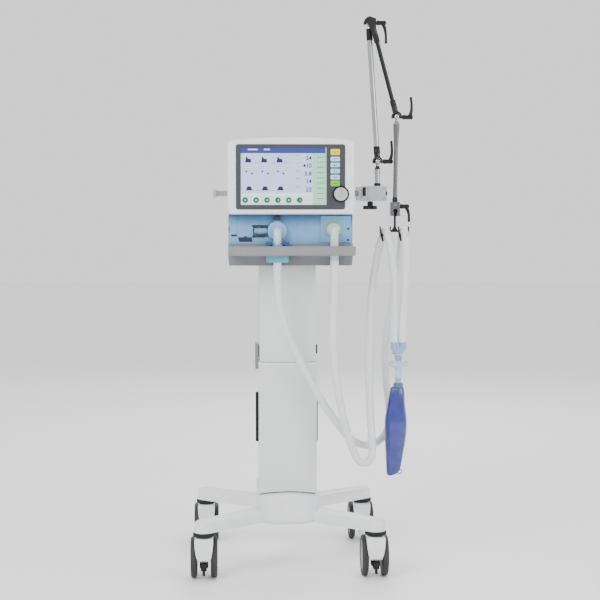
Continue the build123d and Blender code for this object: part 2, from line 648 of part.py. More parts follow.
# ------------------------------------------------------------------ hose arm
def rail_clamp():
    """Clamp block on the right rail's front end, with the socket of the arm's post."""
    clamp = front_prism(rounded(CLAMP_X, CLAMP_Z, 3), *CLAMP_Y)
    lip_x = RAIL_X[0] - 6
    for z_low, z_high in ((RAIL_Z[1] + 0.1, CLAMP_Z[1] - 3), (CLAMP_Z[0] + 3, RAIL_Z[0] - 0.1)):
        clamp = clamp + block((lip_x, CLAMP_X[0] + 3), CLAMP_Y, (z_low, z_high))
        low, high = (z_low - 5, z_high) if z_low > RAIL_Z[1] else (z_low, z_high + 5)
        clamp = clamp + block((lip_x, RAIL_X[0] - 0.1), CLAMP_Y, (low, high))
    rail_slot = block((RAIL_X[0] - 0.1, RAIL_X[1] + 0.1), (-96, -44), (RAIL_Z[0] - 0.1, RAIL_Z[1] + 0.1))
    clamp = clamp - rail_slot
    clamp = clamp - rod((POST_X, REAR_PLANE, CLAMP_Z[1] - 37), (POST_X, REAR_PLANE, 1190), POST_RADIUS + RUNNING_GAP)
    screw = (CLAMP_KNOB_X, CLAMP_KNOB_Y)
    return clamp - rod((*screw, CLAMP_Z[0] - 1), (*screw, CLAMP_Z[0] + 22), 4 + RUNNING_GAP)


def clamp_knob():
    """Star knob under the clamp, on its screw."""
    screw = (CLAMP_KNOB_X, CLAMP_KNOB_Y)
    knob = rod((*screw, 1117), (*screw, 1128), 15)
    for step in range(5):
        angle = math.radians(72 * step + 90)
        lobe = (screw[0] + 16 * math.cos(angle), screw[1] + 16 * math.sin(angle))
        knob = knob + rod((*lobe, 1117), (*lobe, 1128), 6.5)
    knob = knob + rod((*screw, 1126), (*screw, CLAMP_Z[0] - 1), 9)
    return knob + rod((*screw, 1135), (*screw, CLAMP_Z[0] + 20), 4)


def along(start, end, distance):
    """The point at a distance from the start of a line towards its end."""
    return tuple(Vector(start) + (Vector(end) - Vector(start)).normalized() * distance)


def open_ring(centre):
    """Clamp ring round a ball, about an axis along Y, open downwards for the ball's neck."""
    x, y, z = centre
    ring = Circle(RING_RADIUS) - Circle(RING_BORE)
    half = math.radians(RING_OPENING)
    reach = 3 * RING_RADIUS
    wedge = polygon((0, 0), (-reach * math.sin(half), -reach * math.cos(half)),
                    (reach * math.sin(half), -reach * math.cos(half)))
    return front_prism(Pos(x, z) * (ring - wedge), y - RING_HALF_WIDTH, y + RING_HALF_WIDTH)


def stud_hole(pivot):
    x, y, z = pivot
    return rod((x - 8, y, z), (x, y, z), LEVER_STUD_RADIUS + RUNNING_GAP)


def arm_post():
    """Post that turns in the clamp and carries the lowest ball."""
    foot = (POST_X, REAR_PLANE, CLAMP_Z[1] - 36)
    post = rod(foot, (POST_X, REAR_PLANE, 1240), POST_RADIUS)
    post = post + rod((POST_X, REAR_PLANE, CLAMP_Z[1] + 0.3), (POST_X, REAR_PLANE, 1198), 9.5)
    post = post + rod((POST_X, REAR_PLANE, 1226), (POST_X, REAR_PLANE, 1242), 9)
    post = post + rod((POST_X, REAR_PLANE, 1242), (POST_X, REAR_PLANE, 1252), 9, NECK_RADIUS)
    return post + rod((POST_X, REAR_PLANE, 1250), LOWER_JOINT, NECK_RADIUS) + ball(LOWER_JOINT, BALL_RADIUS)


LEVERS = {
    "clamp_lever_post": {"pivot": (296.0, REAR_PLANE, 1265.0), "reach": 29.0, "tip": (323.0, 1326.0)},
    "clamp_lever_top": {"pivot": (272.0, FRONT_PLANE, 1689.0), "reach": 28.0, "tip": (303.0, 1629.0)},
    "clamp_lever_elbow": {"pivot": (353.0, FRONT_PLANE, 1401.0), "reach": 31.0, "tip": (381.0, 1460.0)},
    "clamp_lever_end": {"pivot": (348.0, FRONT_PLANE, 1126.0), "reach": 26.0, "tip": (377.0, 1081.0)},
}


def clamp_lever(name):
    """Clamping lever on a stud along X: a round hub and a handle that narrows to its tip."""
    x, y, z = LEVERS[name]["pivot"]
    reach = LEVERS[name]["reach"]
    tip_x, tip_z = LEVERS[name]["tip"]
    lever = rod((x - 4.8, y, z), (x + 4, y, z), LEVER_STUD_RADIUS)
    lever = lever + rod((x + 1, y, z), (x + 7, y, z), 4.5, 7) + rod((x + 6, y, z), (x + reach, y, z), 7)
    heel = (x + reach - 5, y, z)
    tip = (tip_x, y, tip_z)
    return lever + rod(heel, tip, 6, 3) + ball(tip, 3.6) + rod((x + reach, y, z), (x + reach + 4, y, z), 6, 3)


def arm_tube_1():
    """First tube: ring round the post's ball below, its own ball on top."""
    lower, top = LOWER_JOINT, TOP_JOINT
    tube = open_ring(lower) + rod(along(lower, top, 13), along(lower, top, 45), 9.5, TUBE_1_RADIUS)
    tube = tube - ball(lower, RING_BORE)
    tube = tube + rod(along(lower, top, 44), along(top, lower, 30), TUBE_1_RADIUS)
    tube = tube + rod(along(top, lower, 30), along(top, lower, 14), TUBE_1_RADIUS, NECK_RADIUS)
    tube = tube + rod(along(top, lower, 16), top, NECK_RADIUS) + ball(top, BALL_RADIUS)
    return tube - stud_hole(LEVERS["clamp_lever_post"]["pivot"])


def arm_tube_2():
    """Second tube: a cap over the top ball, and the elbow's ring at its lower end."""
    top, low = TOP_JOINT, ELBOW_JOINT
    start = (263.0, FRONT_PLANE, 1679.0)
    cheek = polygon((241, 1704), (252, 1709), (272, 1702), (272, 1672), (256, 1665), (247, 1684))
    cap = front_prism(cheek, FRONT_PLANE - 8, REAR_PLANE - RING_HALF_WIDTH)
    cap = cap + open_ring(top)
    cap = cap - ball(top, RING_BORE)
    tube = cap + rod(start, along(start, low, 52), 8.5) + rod(along(start, low, 50), low, TUBE_2_RADIUS)
    tube = tube + rod(along(low, start, 50), along(low, start, 14), 9)
    tube = tube - ball(low, RING_BORE) - block((low[0] - 15, low[0] + 15), (-100, -60), (low[2] - 20, low[2]))
    tube = tube + open_ring(low)
    return tube - stud_hole(LEVERS["clamp_lever_top"]["pivot"]) - stud_hole(LEVERS["clamp_lever_elbow"]["pivot"])


def arm_tube_3():
    """Hanging tube: ball in the elbow's ring above, clamp block for the hose holder below."""
    top = ELBOW_JOINT
    foot = (HOLDER_JOINT[0], FRONT_PLANE, END_BLOCK_Z[1] - 2)
    tube = ball(top, BALL_RADIUS) + rod(top, along(top, foot, 16), NECK_RADIUS)
    tube = tube + rod(along(top, foot, 14), along(top, foot, 24), NECK_RADIUS, 10)
    tube = tube + rod(along(top, foot, 24), along(top, foot, 95), 10, TUBE_3_RADIUS)
    tube = tube + rod(along(top, foot, 94), foot, TUBE_3_RADIUS)
    end_block = plan_prism(rounded(END_BLOCK_X, (FRONT_PLANE - 15, FRONT_PLANE + 15), 3), *END_BLOCK_Z)
    x, y, z = HOLDER_JOINT
    socket = ball(HOLDER_JOINT, HOLDER_BALL_RADIUS + 0.3) + rod(HOLDER_JOINT, (x, y, END_BLOCK_Z[0] - 1), 4.2)
    slot = block((x - 4.2, x + 4.2), (y - 16, y), (END_BLOCK_Z[0] - 1, z))
    window = rod((x, y - 16, z), (x, y, z), 6.5)
    return tube + (end_block - socket - slot - window) - stud_hole(LEVERS["clamp_lever_end"]["pivot"])


def hose_holder():
    """Rod that hangs from a ball in the end block and carries the two hose cradles."""
    x, y, z = HOLDER_JOINT
    bar_z = CRADLE_AXIS_Z - 3
    holder = ball(HOLDER_JOINT, HOLDER_BALL_RADIUS) + rod(HOLDER_JOINT, (x, y, bar_z + 2), 3.5)
    flare = polygon((x - 14, bar_z), (x + 10, bar_z), (x + 3.5, bar_z + 14), (x - 3.5, bar_z + 14))
    holder = holder + front_prism(flare, y - 3.5, y + 3.5)
    holder = holder + block((CRADLE_X[0] + 14, CRADLE_X[1] - 14), (y - 4, y + 4), (bar_z - 1.5, bar_z + 3))
    for centre in CRADLE_X:
        holder = holder + hose_cradle(centre)
    return holder


def hose_cradle(x):
    """Open saddle that a hose lies over, with tips that keep it in and a tail on the left."""
    outer = CRADLE_BORE + CRADLE_WALL
    z = CRADLE_AXIS_Z
    saddle = Circle(outer) + Pos(0, 6.5) * Rectangle(2 * outer, 13)
    saddle = saddle - Circle(CRADLE_BORE) - Pos(0, 10) * Rectangle(2 * CRADLE_BORE, 20)
    tips = polygon((-outer - 1, 13), (-CRADLE_BORE + 1, 10), (-CRADLE_BORE, 7), (-outer, 7))
    tips = tips + mirror(tips, Plane.YZ)
    tail = polygon((-outer, 0), (-CRADLE_BORE, 0), (-8, -15), (-4, -32), (-10, -33), (-15, -18))
    body = front_prism(Pos(x, z) * (saddle + tips), FRONT_PLANE - CRADLE_HALF_DEPTH, FRONT_PLANE + CRADLE_HALF_DEPTH)
    lip = front_prism(Pos(x, z) * (tail - Circle(CRADLE_BORE)), FRONT_PLANE - CRADLE_HALF_DEPTH, FRONT_PLANE - 3)
    return body + lip


# ------------------------------------------------------------------ breathing circuit
def arc_radii(points):
    """Each corner's radius: 0.45 of the shorter run, over the tangent of half the turn."""
    radii = []
    for before, corner, after in zip(points, points[1:], points[2:]):
        run_in = Vector(corner) - Vector(before)
        run_out = Vector(after) - Vector(corner)
        half_turn = math.radians(run_in.get_angle(run_out)) / 2
        radii.append(0.45 * min(run_in.length, run_out.length) / math.tan(half_turn))
    return radii


def hose(name):
    """A hose along its route, straight runs joined by tangent arcs."""
    points = HOSE_ROUTES[name]
    radii = arc_radii(points)
    path = FilletPolyline(*points, radius=radii)
    section = Plane(origin=points[0], z_dir=path % 0) * Circle(HOSE_RADIUS)
    tube = sweep(section, path=path)
    expected = math.pi * HOSE_RADIUS ** 2 * path.length
    print(name, "length", round(path.length), "mm, volume over section x length", round(tube.volume / expected, 4))
    print("  radii", [round(radius) for radius in radii])
    return tube


def y_piece():
    """Y-piece: two ports side by side on top, one port below with a small sampling spigot."""
    ports = None
    for side in (-1, 1):
        x = HANG_X + side * Y_SPREAD
        port = rod((x, HANG_Y, Y_TOP - 14), (x, HANG_Y, Y_TOP), HOSE_RADIUS)
        ports = port if ports is None else ports + port
    shoulder = Pos(HANG_X, HANG_Y, Y_TOP - 12) * RectangleRounded(52.5, 26.5, 13.1)
    outlet = Pos(HANG_X, HANG_Y, Y_TOP - 30) * RectangleRounded(24, 23, 11.3)
    body = loft([outlet, shoulder])
    stem = rod((HANG_X, HANG_Y, FILTER_TOP), (HANG_X, HANG_Y, Y_TOP - 28), 11)
    collar = rod((HANG_X, HANG_Y, 660), (HANG_X, HANG_Y, 664), 13)
    spigot = rod((HANG_X, HANG_Y, 669), (HANG_X - 20, HANG_Y, 669), 3)
    return ports + body + stem + collar + spigot


def breathing_filter():
    """Flat filter housing with a round port above and below."""
    rim = rod((HANG_X, HANG_Y, 631), (HANG_X, HANG_Y, 640), 33)
    upper = rod((HANG_X, HANG_Y, 640), (HANG_X, HANG_Y, FILTER_TOP), 31, 17)
    lower = rod((HANG_X, HANG_Y, FILTER_BOTTOM), (HANG_X, HANG_Y, 631), 16, 30)
    stub = rod((HANG_X, HANG_Y, FILTER_STUB_BOTTOM), (HANG_X, HANG_Y, FILTER_BOTTOM), 11)
    return rim + upper + lower + stub


def test_lung():
    """Soft bag that hangs from its neck and collar, fullest a third of the way down."""
    stations = [
        (567, 343, 13, 12), (561, 341, 20, 17), (545, 340, 23, 20), (497, 338, 29, 26),
        (459, 337.7, 35, 29), (430, 337.5, 34.5, 28), (360, 334, 28, 21), (302, 331, 21, 13),
        (290, 326, 15, 10), (284.5, 320, 6, 4),
    ]
    sections = [
        Pos(x, HANG_Y, z) * Ellipse(half_width, half_depth) for z, x, half_width, half_depth in reversed(stations)
    ]
    bag = loft(sections)
    collar = rod((HANG_X, HANG_Y, 556), (HANG_X, HANG_Y, 577), 15.5)
    neck = rod((HANG_X, HANG_Y, 575), (HANG_X, HANG_Y, FILTER_STUB_BOTTOM), 8)
    return bag + collar + neck


# ------------------------------------------------------------------ all the nodes
def make_nodes():
    """Every sub-part by its node's name, about the column's axis."""
    nodes = {
        "base_casting": base_casting(),
        "caster_bumper_rings": sum((Pos(*spot, 0) * bumper_ring() for spot in swivel_axes().values()), Part()),
    }
    for corner, spot in swivel_axes().items():
        has_brake = corner.startswith("front")
        nodes["caster_hood_" + corner] = Pos(*spot, 0) * caster_hood(has_brake)
        nodes["caster_wheels_" + corner] = Pos(*spot, 0) * caster_wheels()
        if has_brake:
            nodes["brake_lever_" + corner] = Pos(*spot, 0) * brake_lever()
    for make in (
        column_core, column_upper_cover, column_lower_cover, column_rear_cover, accessory_plate,
        column_side_strips, tray, front_handle, display_housing, rear_housing, display_frame,
        touch_screen, rotary_knob, front_panel, sensor_cover, expiratory_valve, flow_sensor,
        inspiratory_elbow, elbow_holder, side_rails, blower_housing, blower_impeller, main_board,
        battery_pack, connector_panel, rail_clamp, clamp_knob, arm_post, arm_tube_1, arm_tube_2,
        arm_tube_3, hose_holder, y_piece, breathing_filter, test_lung,
    ):
        nodes[make.__name__] = make()
    nodes["expiratory_elbow"] = elbow(EXPIRATORY_X, EXPIRATORY_Z, VALVE_FRONT)
    for name in KEY_ROWS:
        nodes[name] = key(name)
    for name in LEVERS:
        nodes[name] = clamp_lever(name)
    for name in HOSE_ROUTES:
        nodes[name] = hose(name)
    return nodes


def place(part):
    """From the column's axis to the part's own frame."""
    return Pos(-ORIGIN_X, -ORIGIN_Y, 0) * part


def main():
    os.makedirs("parts", exist_ok=True)
    for name, part in make_nodes().items():
        export_step(place(part), os.path.join("parts", name + ".step"))


if __name__ == "__main__":
    main()
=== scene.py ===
import json
import math

import bmesh
import bpy
from mathutils import Matrix, Vector, noise


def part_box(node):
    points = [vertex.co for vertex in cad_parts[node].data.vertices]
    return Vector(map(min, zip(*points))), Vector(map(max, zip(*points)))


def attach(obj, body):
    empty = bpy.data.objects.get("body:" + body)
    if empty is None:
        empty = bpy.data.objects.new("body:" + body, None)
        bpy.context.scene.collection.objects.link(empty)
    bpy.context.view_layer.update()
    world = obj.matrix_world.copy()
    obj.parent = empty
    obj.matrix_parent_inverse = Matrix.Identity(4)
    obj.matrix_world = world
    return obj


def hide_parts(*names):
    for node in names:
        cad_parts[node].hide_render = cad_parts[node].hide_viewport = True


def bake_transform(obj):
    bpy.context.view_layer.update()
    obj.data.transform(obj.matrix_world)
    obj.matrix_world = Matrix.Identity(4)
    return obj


# Looks of a hospital ventilator on its trolley. Everything is in metres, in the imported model's
# frame: +X to the right as the operator faces the screen, +Y to the back, +Z up.

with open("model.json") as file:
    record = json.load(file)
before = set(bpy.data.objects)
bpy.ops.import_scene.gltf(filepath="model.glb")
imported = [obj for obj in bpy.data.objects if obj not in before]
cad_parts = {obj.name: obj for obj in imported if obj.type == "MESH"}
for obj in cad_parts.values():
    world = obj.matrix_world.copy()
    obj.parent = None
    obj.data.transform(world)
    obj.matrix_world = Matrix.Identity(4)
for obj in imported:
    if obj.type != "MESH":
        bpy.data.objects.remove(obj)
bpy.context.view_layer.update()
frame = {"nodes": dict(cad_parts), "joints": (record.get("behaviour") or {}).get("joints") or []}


# ------------------------------------------------------------------ places in the frame
def middle_of(node):
    low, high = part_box(node)
    return (low + high) / 2


AXIS = middle_of("column_core")
MM = 0.001


def at(x, y, z):
    """A point given about the column's axis, in millimetres, as a point of the frame."""
    return Vector((AXIS.x + x * MM, AXIS.y + y * MM, z * MM))


def joint_place(name):
    """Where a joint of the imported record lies."""
    for joint in frame["joints"]:
        if joint["name"] == name:
            return Vector(joint["pos_m"])
    raise KeyError(name)


# ------------------------------------------------------------------ camera, lights, floor
CAMERA_SPOT = (-175, -4724, 1165)
CAMERA_TILT_DOWN = 4.05
CAMERA_TURN_RIGHT = 2.63
CAMERA_LENS = 90.0


def make_camera():
    data = bpy.data.cameras.new("camera")
    data.lens = CAMERA_LENS
    data.sensor_width = 36.0
    camera = bpy.data.objects.new("camera", data)
    camera.location = at(*CAMERA_SPOT)
    camera.rotation_euler = (math.radians(90 - CAMERA_TILT_DOWN), 0, math.radians(-CAMERA_TURN_RIGHT))
    bpy.context.scene.collection.objects.link(camera)
    bpy.context.scene.camera = camera


def make_light(name, spot, target, size, power):
    data = bpy.data.lights.new(name, "AREA")
    data.shape = "DISK"
    data.size = size
    data.energy = power
    light = bpy.data.objects.new(name, data)
    light.location = spot
    light.rotation_mode = "QUATERNION"
    light.rotation_quaternion = (Vector(target) - Vector(spot)).to_track_quat("-Z", "Y")
    bpy.context.scene.collection.objects.link(light)


def make_studio():
    """Pale floor, pale surroundings, and three large soft lights."""
    world = bpy.data.worlds.new("studio")
    world.use_nodes = True
    world.node_tree.nodes["Background"].inputs["Color"].default_value = (1.0, 1.0, 1.0, 1)
    world.node_tree.nodes["Background"].inputs["Strength"].default_value = 1.25
    bpy.context.scene.world = world
    target = (0, 0, 0.8)
    make_light("key_light", (-2.6, -3.4, 3.4), target, 2.4, 150)
    make_light("fill_light", (3.2, -2.6, 2.2), target, 2.6, 70)
    make_light("rear_light", (0.6, 3.4, 3.0), target, 2.4, 80)
    floor_size = 30.0
    bpy.ops.mesh.primitive_plane_add(size=floor_size, location=(0, 0, -0.0005))
    floor = bpy.context.object
    floor.name = "floor"
    paint_finish = finish("floor_paint", (0.93, 0.935, 0.94), 0.55, mottle=0.01, mottle_size=0.8)
    floor.data.materials.append(paint_finish)


# ------------------------------------------------------------------ finishes
def noise_field(tree, size, detail=3.0, stretch=(1, 1, 1)):
    """Noise over the piece's own space, with features of a size in metres."""
    place = tree.nodes.new("ShaderNodeTexCoord")
    mapping = tree.nodes.new("ShaderNodeMapping")
    mapping.inputs["Scale"].default_value = stretch
    field = tree.nodes.new("ShaderNodeTexNoise")
    field.inputs["Scale"].default_value = 1 / size
    field.inputs["Detail"].default_value = detail
    tree.links.new(place.outputs["Object"], mapping.inputs["Vector"])
    tree.links.new(mapping.outputs["Vector"], field.inputs["Vector"])
    return field


def ramp(tree, source, stops, constant=False):
    """A colour ramp through (position, colour) stops."""
    made = tree.nodes.new("ShaderNodeValToRGB")
    if constant:
        made.color_ramp.interpolation = "CONSTANT"
    elements = made.color_ramp.elements
    while len(elements) < len(stops):
        elements.new(0.5)
    for element, (position, colour) in zip(elements, stops):
        element.position = position
        element.color = (*colour, 1)
    tree.links.new(source, made.inputs["Fac"])
    return made


def shaded(colour, share):
    return tuple(min(1.0, c * share) for c in colour)


def finish(name, colour, roughness=0.4, metallic=0.0, mottle=0.04, mottle_size=0.05, grain_size=0.0009,
           grain=0.12, stretch=(1, 1, 1), **sockets):
    """A surface: colour and gloss that vary a little over it, and a fine grain you can feel."""
    made = bpy.data.materials.new(name)
    made.use_nodes = True
    tree = made.node_tree
    shader = tree.nodes["Principled BSDF"]
    clouds = noise_field(tree, mottle_size, 4.0, stretch)
    stops = [(0.3, shaded(colour, 1 - mottle)), (0.7, shaded(colour, 1 + mottle))]
    tint = ramp(tree, clouds.outputs["Fac"], stops)
    tree.links.new(tint.outputs["Color"], shader.inputs["Base Color"])
    gloss = tree.nodes.new("ShaderNodeMapRange")
    gloss.inputs["To Min"].default_value = max(0.02, roughness * 0.85)
    gloss.inputs["To Max"].default_value = min(1.0, roughness * 1.2)
    tree.links.new(clouds.outputs["Fac"], gloss.inputs["Value"])
    tree.links.new(gloss.outputs["Result"], shader.inputs["Roughness"])
    shader.inputs["Metallic"].default_value = metallic
    fine = noise_field(tree, grain_size, 2.0, stretch)
    relief = tree.nodes.new("ShaderNodeBump")
    relief.inputs["Strength"].default_value = grain
    relief.inputs["Distance"].default_value = 0.0003
    tree.links.new(fine.outputs["Fac"], relief.inputs["Height"])
    tree.links.new(relief.outputs["Normal"], shader.inputs["Normal"])
    for socket, value in sockets.items():
        shader.inputs[socket.replace("_", " ")].default_value = value
    return made


def banded_finish(name, start, end, bands, roughness, grain=0.05, sharp=True):
    """Finish whose colour and metal change at shares of the way from one point to another."""
    made = finish(name, bands[0][1], roughness, grain=grain)
    tree = made.node_tree
    shader = tree.nodes["Principled BSDF"]
    way = end - start
    place = tree.nodes.new("ShaderNodeTexCoord")
    dot = tree.nodes.new("ShaderNodeVectorMath")
    dot.operation = "DOT_PRODUCT"
    dot.inputs[1].default_value = way / way.length_squared
    tree.links.new(place.outputs["Object"], dot.inputs[0])
    share = tree.nodes.new("ShaderNodeMath")
    share.operation = "SUBTRACT"
    share.inputs[1].default_value = start.dot(way) / way.length_squared
    tree.links.new(dot.outputs["Value"], share.inputs[0])
    tint = ramp(tree, share.outputs["Value"], [(p, c) for p, c, _ in bands], constant=sharp)
    metal = ramp(tree, share.outputs["Value"], [(p, (m, m, m)) for p, _, m in bands], constant=sharp)
    clouds = noise_field(tree, 0.02)
    vary = ramp(tree, clouds.outputs["Fac"], [(0.3, (0.9, 0.9, 0.9)), (0.7, (1.0, 1.0, 1.0))])
    product = tree.nodes.new("ShaderNodeVectorMath")
    product.operation = "MULTIPLY"
    tree.links.new(tint.outputs["Color"], product.inputs[0])
    tree.links.new(vary.outputs["Color"], product.inputs[1])
    tree.links.new(product.outputs["Vector"], shader.inputs["Base Color"])
    tree.links.new(metal.outputs["Color"], shader.inputs["Metallic"])
    return made


def glow(made, strength):
    """A little light of its own, as a lit screen gives."""
    shader = made.node_tree.nodes["Principled BSDF"]
    colour = shader.inputs["Base Color"].links[0].from_socket
    made.node_tree.links.new(colour, shader.inputs["Emission Color"])
    shader.inputs["Emission Strength"].default_value = strength
    return made


def make_finishes():
    """Every finish by name. Colours are linear."""
    made = {}

    def add(name, *values, **options):
        made[name] = finish(name, *values, **options)

    add("casing", (0.78, 0.79, 0.81), 0.42, grain=0.2)
    add("casting", (0.76, 0.77, 0.79), 0.33, grain=0.28, grain_size=0.0016, Coat_Weight=0.25)
    add("castor", (0.78, 0.79, 0.8), 0.3, grain=0.1, Coat_Weight=0.2)
    add("column", (0.68, 0.69, 0.695), 0.48, grain=0.3, mottle=0.03, mottle_size=0.2)
    add("tread", (0.02, 0.02, 0.021), 0.6, mottle=0.2, mottle_size=0.02, grain=0.4)
    add("hub", (0.3, 0.31, 0.33), 0.4, grain=0.15)
    add("rubber", (0.007, 0.008, 0.01), 0.62, mottle=0.2, grain=0.35, Specular_IOR_Level=0.3)
    add("black", (0.004, 0.004, 0.005), 0.4, mottle=0.15, grain=0.15, Specular_IOR_Level=0.3)
    add("core", (0.32, 0.32, 0.33), 0.4, metallic=0.9, stretch=(1, 1, 0.1))
    add("grey_paint", (0.2, 0.21, 0.22), 0.45, grain=0.25)
    add("tray", (0.16, 0.166, 0.18), 0.42, grain=0.3, grain_size=0.0014)
    add("handle", (0.21, 0.216, 0.23), 0.36, grain=0.2)
    add("bezel", (0.036, 0.04, 0.048), 0.45, grain=0.2)
    add("key_yellow", (0.75, 0.6, 0.03), 0.42, grain=0.1)
    add("key_blue", (0.38, 0.58, 0.82), 0.42, grain=0.1)
    add("key_green", (0.16, 0.46, 0.03), 0.42, grain=0.1)
    add("mark", (0.05, 0.06, 0.08), 0.5)
    add("knob", (0.44, 0.48, 0.45), 0.32, grain=0.1, Coat_Weight=0.2)
    # The panel's blue turns darker towards the top: painted shade cast by the display housing's overhang.
    made["panel"] = banded_finish("panel", at(0, 0, 1060), at(0, 0, 1101), [
        (0, (0.17, 0.38, 0.6), 0), (0.5, (0.1, 0.27, 0.5), 0), (1, (0.025, 0.09, 0.22), 0),
    ], 0.36, sharp=False)
    add("cover_blue", (0.15, 0.35, 0.57), 0.36, grain=0.12, Coat_Weight=0.25)
    add("navy", (0.006, 0.014, 0.05), 0.35, Coat_Weight=0.25)
    add("holder_blue", (0.012, 0.06, 0.2), 0.32, Coat_Weight=0.3)
    add("port", (0.24, 0.5, 0.8), 0.2, Coat_Weight=0.5, Transmission_Weight=0.25)
    add("clear_blue", (0.28, 0.52, 0.7), 0.12, Coat_Weight=0.6, Transmission_Weight=0.4)
    add("elbow", (0.66, 0.75, 0.82), 0.18, Coat_Weight=0.5, Transmission_Weight=0.2)
    add("seal", (0.5, 0.64, 0.12), 0.45, grain=0.1)
    add("holder_aqua", (0.11, 0.34, 0.45), 0.32, Coat_Weight=0.3)
    add("steel", (0.42, 0.43, 0.44), 0.3, metallic=1.0, stretch=(1, 0.05, 1), grain=0.2)
    add("chrome", (0.42, 0.43, 0.45), 0.16, metallic=1.0, grain=0.02)
    add("clamp", (0.4, 0.41, 0.42), 0.4, metallic=0.2, grain=0.3, grain_size=0.0015)
    add("board", (0.02, 0.14, 0.05), 0.4)
    add("inner_grey", (0.2, 0.21, 0.22), 0.5)
    add("back_plate", (0.3, 0.31, 0.33), 0.4, metallic=0.3, grain=0.2)
    add("hose", (0.78, 0.79, 0.81), 0.3, mottle=0.03, grain=0.05, Coat_Weight=0.35,
        Subsurface_Weight=0.15, Subsurface_Radius=(1, 1, 1), Subsurface_Scale=0.004,
        Transmission_Weight=0.12)
    add("cuff", (0.68, 0.71, 0.76), 0.28, grain=0.08, Coat_Weight=0.3)
    add("connector", (0.3, 0.42, 0.76), 0.16, Coat_Weight=0.6, Transmission_Weight=0.25)
    add("filter_white", (0.62, 0.7, 0.86), 0.18, Coat_Weight=0.5, Transmission_Weight=0.25)
    add("bag_neck", (0.07, 0.13, 0.18), 0.35, grain=0.1)
    add("bag", (0.008, 0.018, 0.2), 0.16, mottle=0.3, mottle_size=0.035, grain=0.1, Coat_Weight=0.8,
        Coat_Roughness=0.08)
    screen = {
        "screen_back": (0.45, 0.56, 0.78), "screen_header": (0.018, 0.035, 0.22),
        "screen_column": (0.3, 0.6, 0.4), "screen_bar": (0.14, 0.32, 0.22), "screen_strip": (0.72, 0.8, 0.86),
        "screen_band": (0.5, 0.76, 0.64), "screen_button": (0.006, 0.11, 0.06),
        "screen_trace": (0.003, 0.003, 0.05), "screen_light": (0.7, 0.78, 0.92),
    }
    for name, colour in screen.items():
        made[name] = glow(finish(name, colour, 0.2, mottle=0.02, grain=0.02, Coat_Weight=0.3), 0.25)
    return made


# ------------------------------------------------------------------ mesh building
def cross_axes(axis):
    """Two unit vectors square to an axis and to each other."""
    helper = Vector((0, 0, 1)) if abs(axis.z) < 0.9 else Vector((1, 0, 0))
    side = helper.cross(axis).normalized()
    return side, axis.normalized().cross(side)


def add_rings(shape, rings):
    """Skins a row of rings of points and closes both ends."""
    rows = [[shape.verts.new(point) for point in ring] for ring in rings]
    count = len(rows[0])
    for low, high in zip(rows, rows[1:]):
        for i in range(count):
            j = (i + 1) % count
            shape.faces.new((low[i], low[j], high[j], high[i]))
    shape.faces.new(rows[0][::-1])
    shape.faces.new(rows[-1])


def circle(centre, side, up, radius, steps, wobble=None):
    points = []
    for step in range(steps):
        angle = 2 * math.pi * step / steps
        reach = radius if wobble is None else wobble(radius, angle)
        points.append(centre + reach * (math.cos(angle) * side + math.sin(angle) * up))
    return points


def add_lathe(shape, base, axis, profile, steps=48, wobble=None):
    """Turns a profile of (distance along the axis, radius), in millimetres."""
    axis = Vector(axis).normalized()
    side, up = cross_axes(axis)
    rings = []
    for distance, radius in profile:
        centre = base + axis * distance * MM
        rings.append(circle(centre, side, up, max(radius, 0.02) * MM, steps, wobble))
    add_rings(shape, rings)


def add_tube(shape, points, radii, steps=20):
    """A round tube along points, with a radius in metres at each. Its rings don't twist."""
    direction = (points[1] - points[0]).normalized()
    side, _ = cross_axes(direction)
    rings = []
    for index, point in enumerate(points):
        ahead = points[min(index + 1, len(points) - 1)]
        behind = points[max(index - 1, 0)]
        direction = (ahead - behind).normalized()
        side = (side - direction * side.dot(direction)).normalized()
        rings.append(circle(point, side, direction.cross(side), radii[index], steps))
    add_rings(shape, rings)


def add_bevelled(shape, made, bevel, segments=3):
    """Rounds a small closed shape's edges and adds it."""
    if bevel > 0:
        bmesh.ops.bevel(made, geom=list(made.edges), offset=bevel, segments=segments, profile=0.5,
                        affect="EDGES", clamp_overlap=True)
    part = bpy.data.meshes.new("part")
    made.to_mesh(part)
    made.free()
    shape.from_mesh(part)
    bpy.data.meshes.remove(part)


def add_block(shape, low, high, bevel=0.0):
    made = bmesh.new()
    bmesh.ops.create_cube(made, size=1.0)
    for vertex in made.verts:
        vertex.co = Vector([a + (b - a) * (c + 0.5) for a, b, c in zip(low, high, vertex.co)])
    add_bevelled(shape, made, bevel)


def round_outline(x_limits, z_limits, radius, steps=5):
    """Corner points of a rectangle with round corners."""
    points = []
    for turn, (x, z) in enumerate((
        (x_limits[1] - radius, z_limits[1] - radius), (x_limits[0] + radius, z_limits[1] - radius),
        (x_limits[0] + radius, z_limits[0] + radius), (x_limits[1] - radius, z_limits[0] + radius),
    )):
        for step in range(steps + 1):
            angle = math.pi / 2 * (turn + step / steps)
            points.append((x + radius * math.cos(angle), z + radius * math.sin(angle)))
    return points


def add_plate(shape, outline, y_limits, place=at):
    """An outline in X and Z given depth along Y, in millimetres about the column's axis."""
    add_rings(shape, [[place(x, y, z) for x, z in outline] for y in y_limits])


def piece_from(name, shape, made_finish, body, replaces=(), slot=None, sharp=40):
    """Makes a bmesh a named piece that rides on a body. No body leaves it free for a blend."""
    bmesh.ops.recalc_face_normals(shape, faces=shape.faces)
    limit = math.radians(sharp)
    for face in shape.faces:
        face.smooth = True
    for edge in shape.edges:
        edge.smooth = edge.calc_face_angle(0.0) < limit
    mesh = bpy.data.meshes.new(name)
    shape.to_mesh(mesh)
    shape.free()
    mesh.materials.append(made_finish)
    piece = bpy.data.objects.new(name, mesh)
    bpy.context.scene.collection.objects.link(piece)
    if body:
        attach(piece, body)
    if replaces:
        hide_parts(*replaces)
    return piece


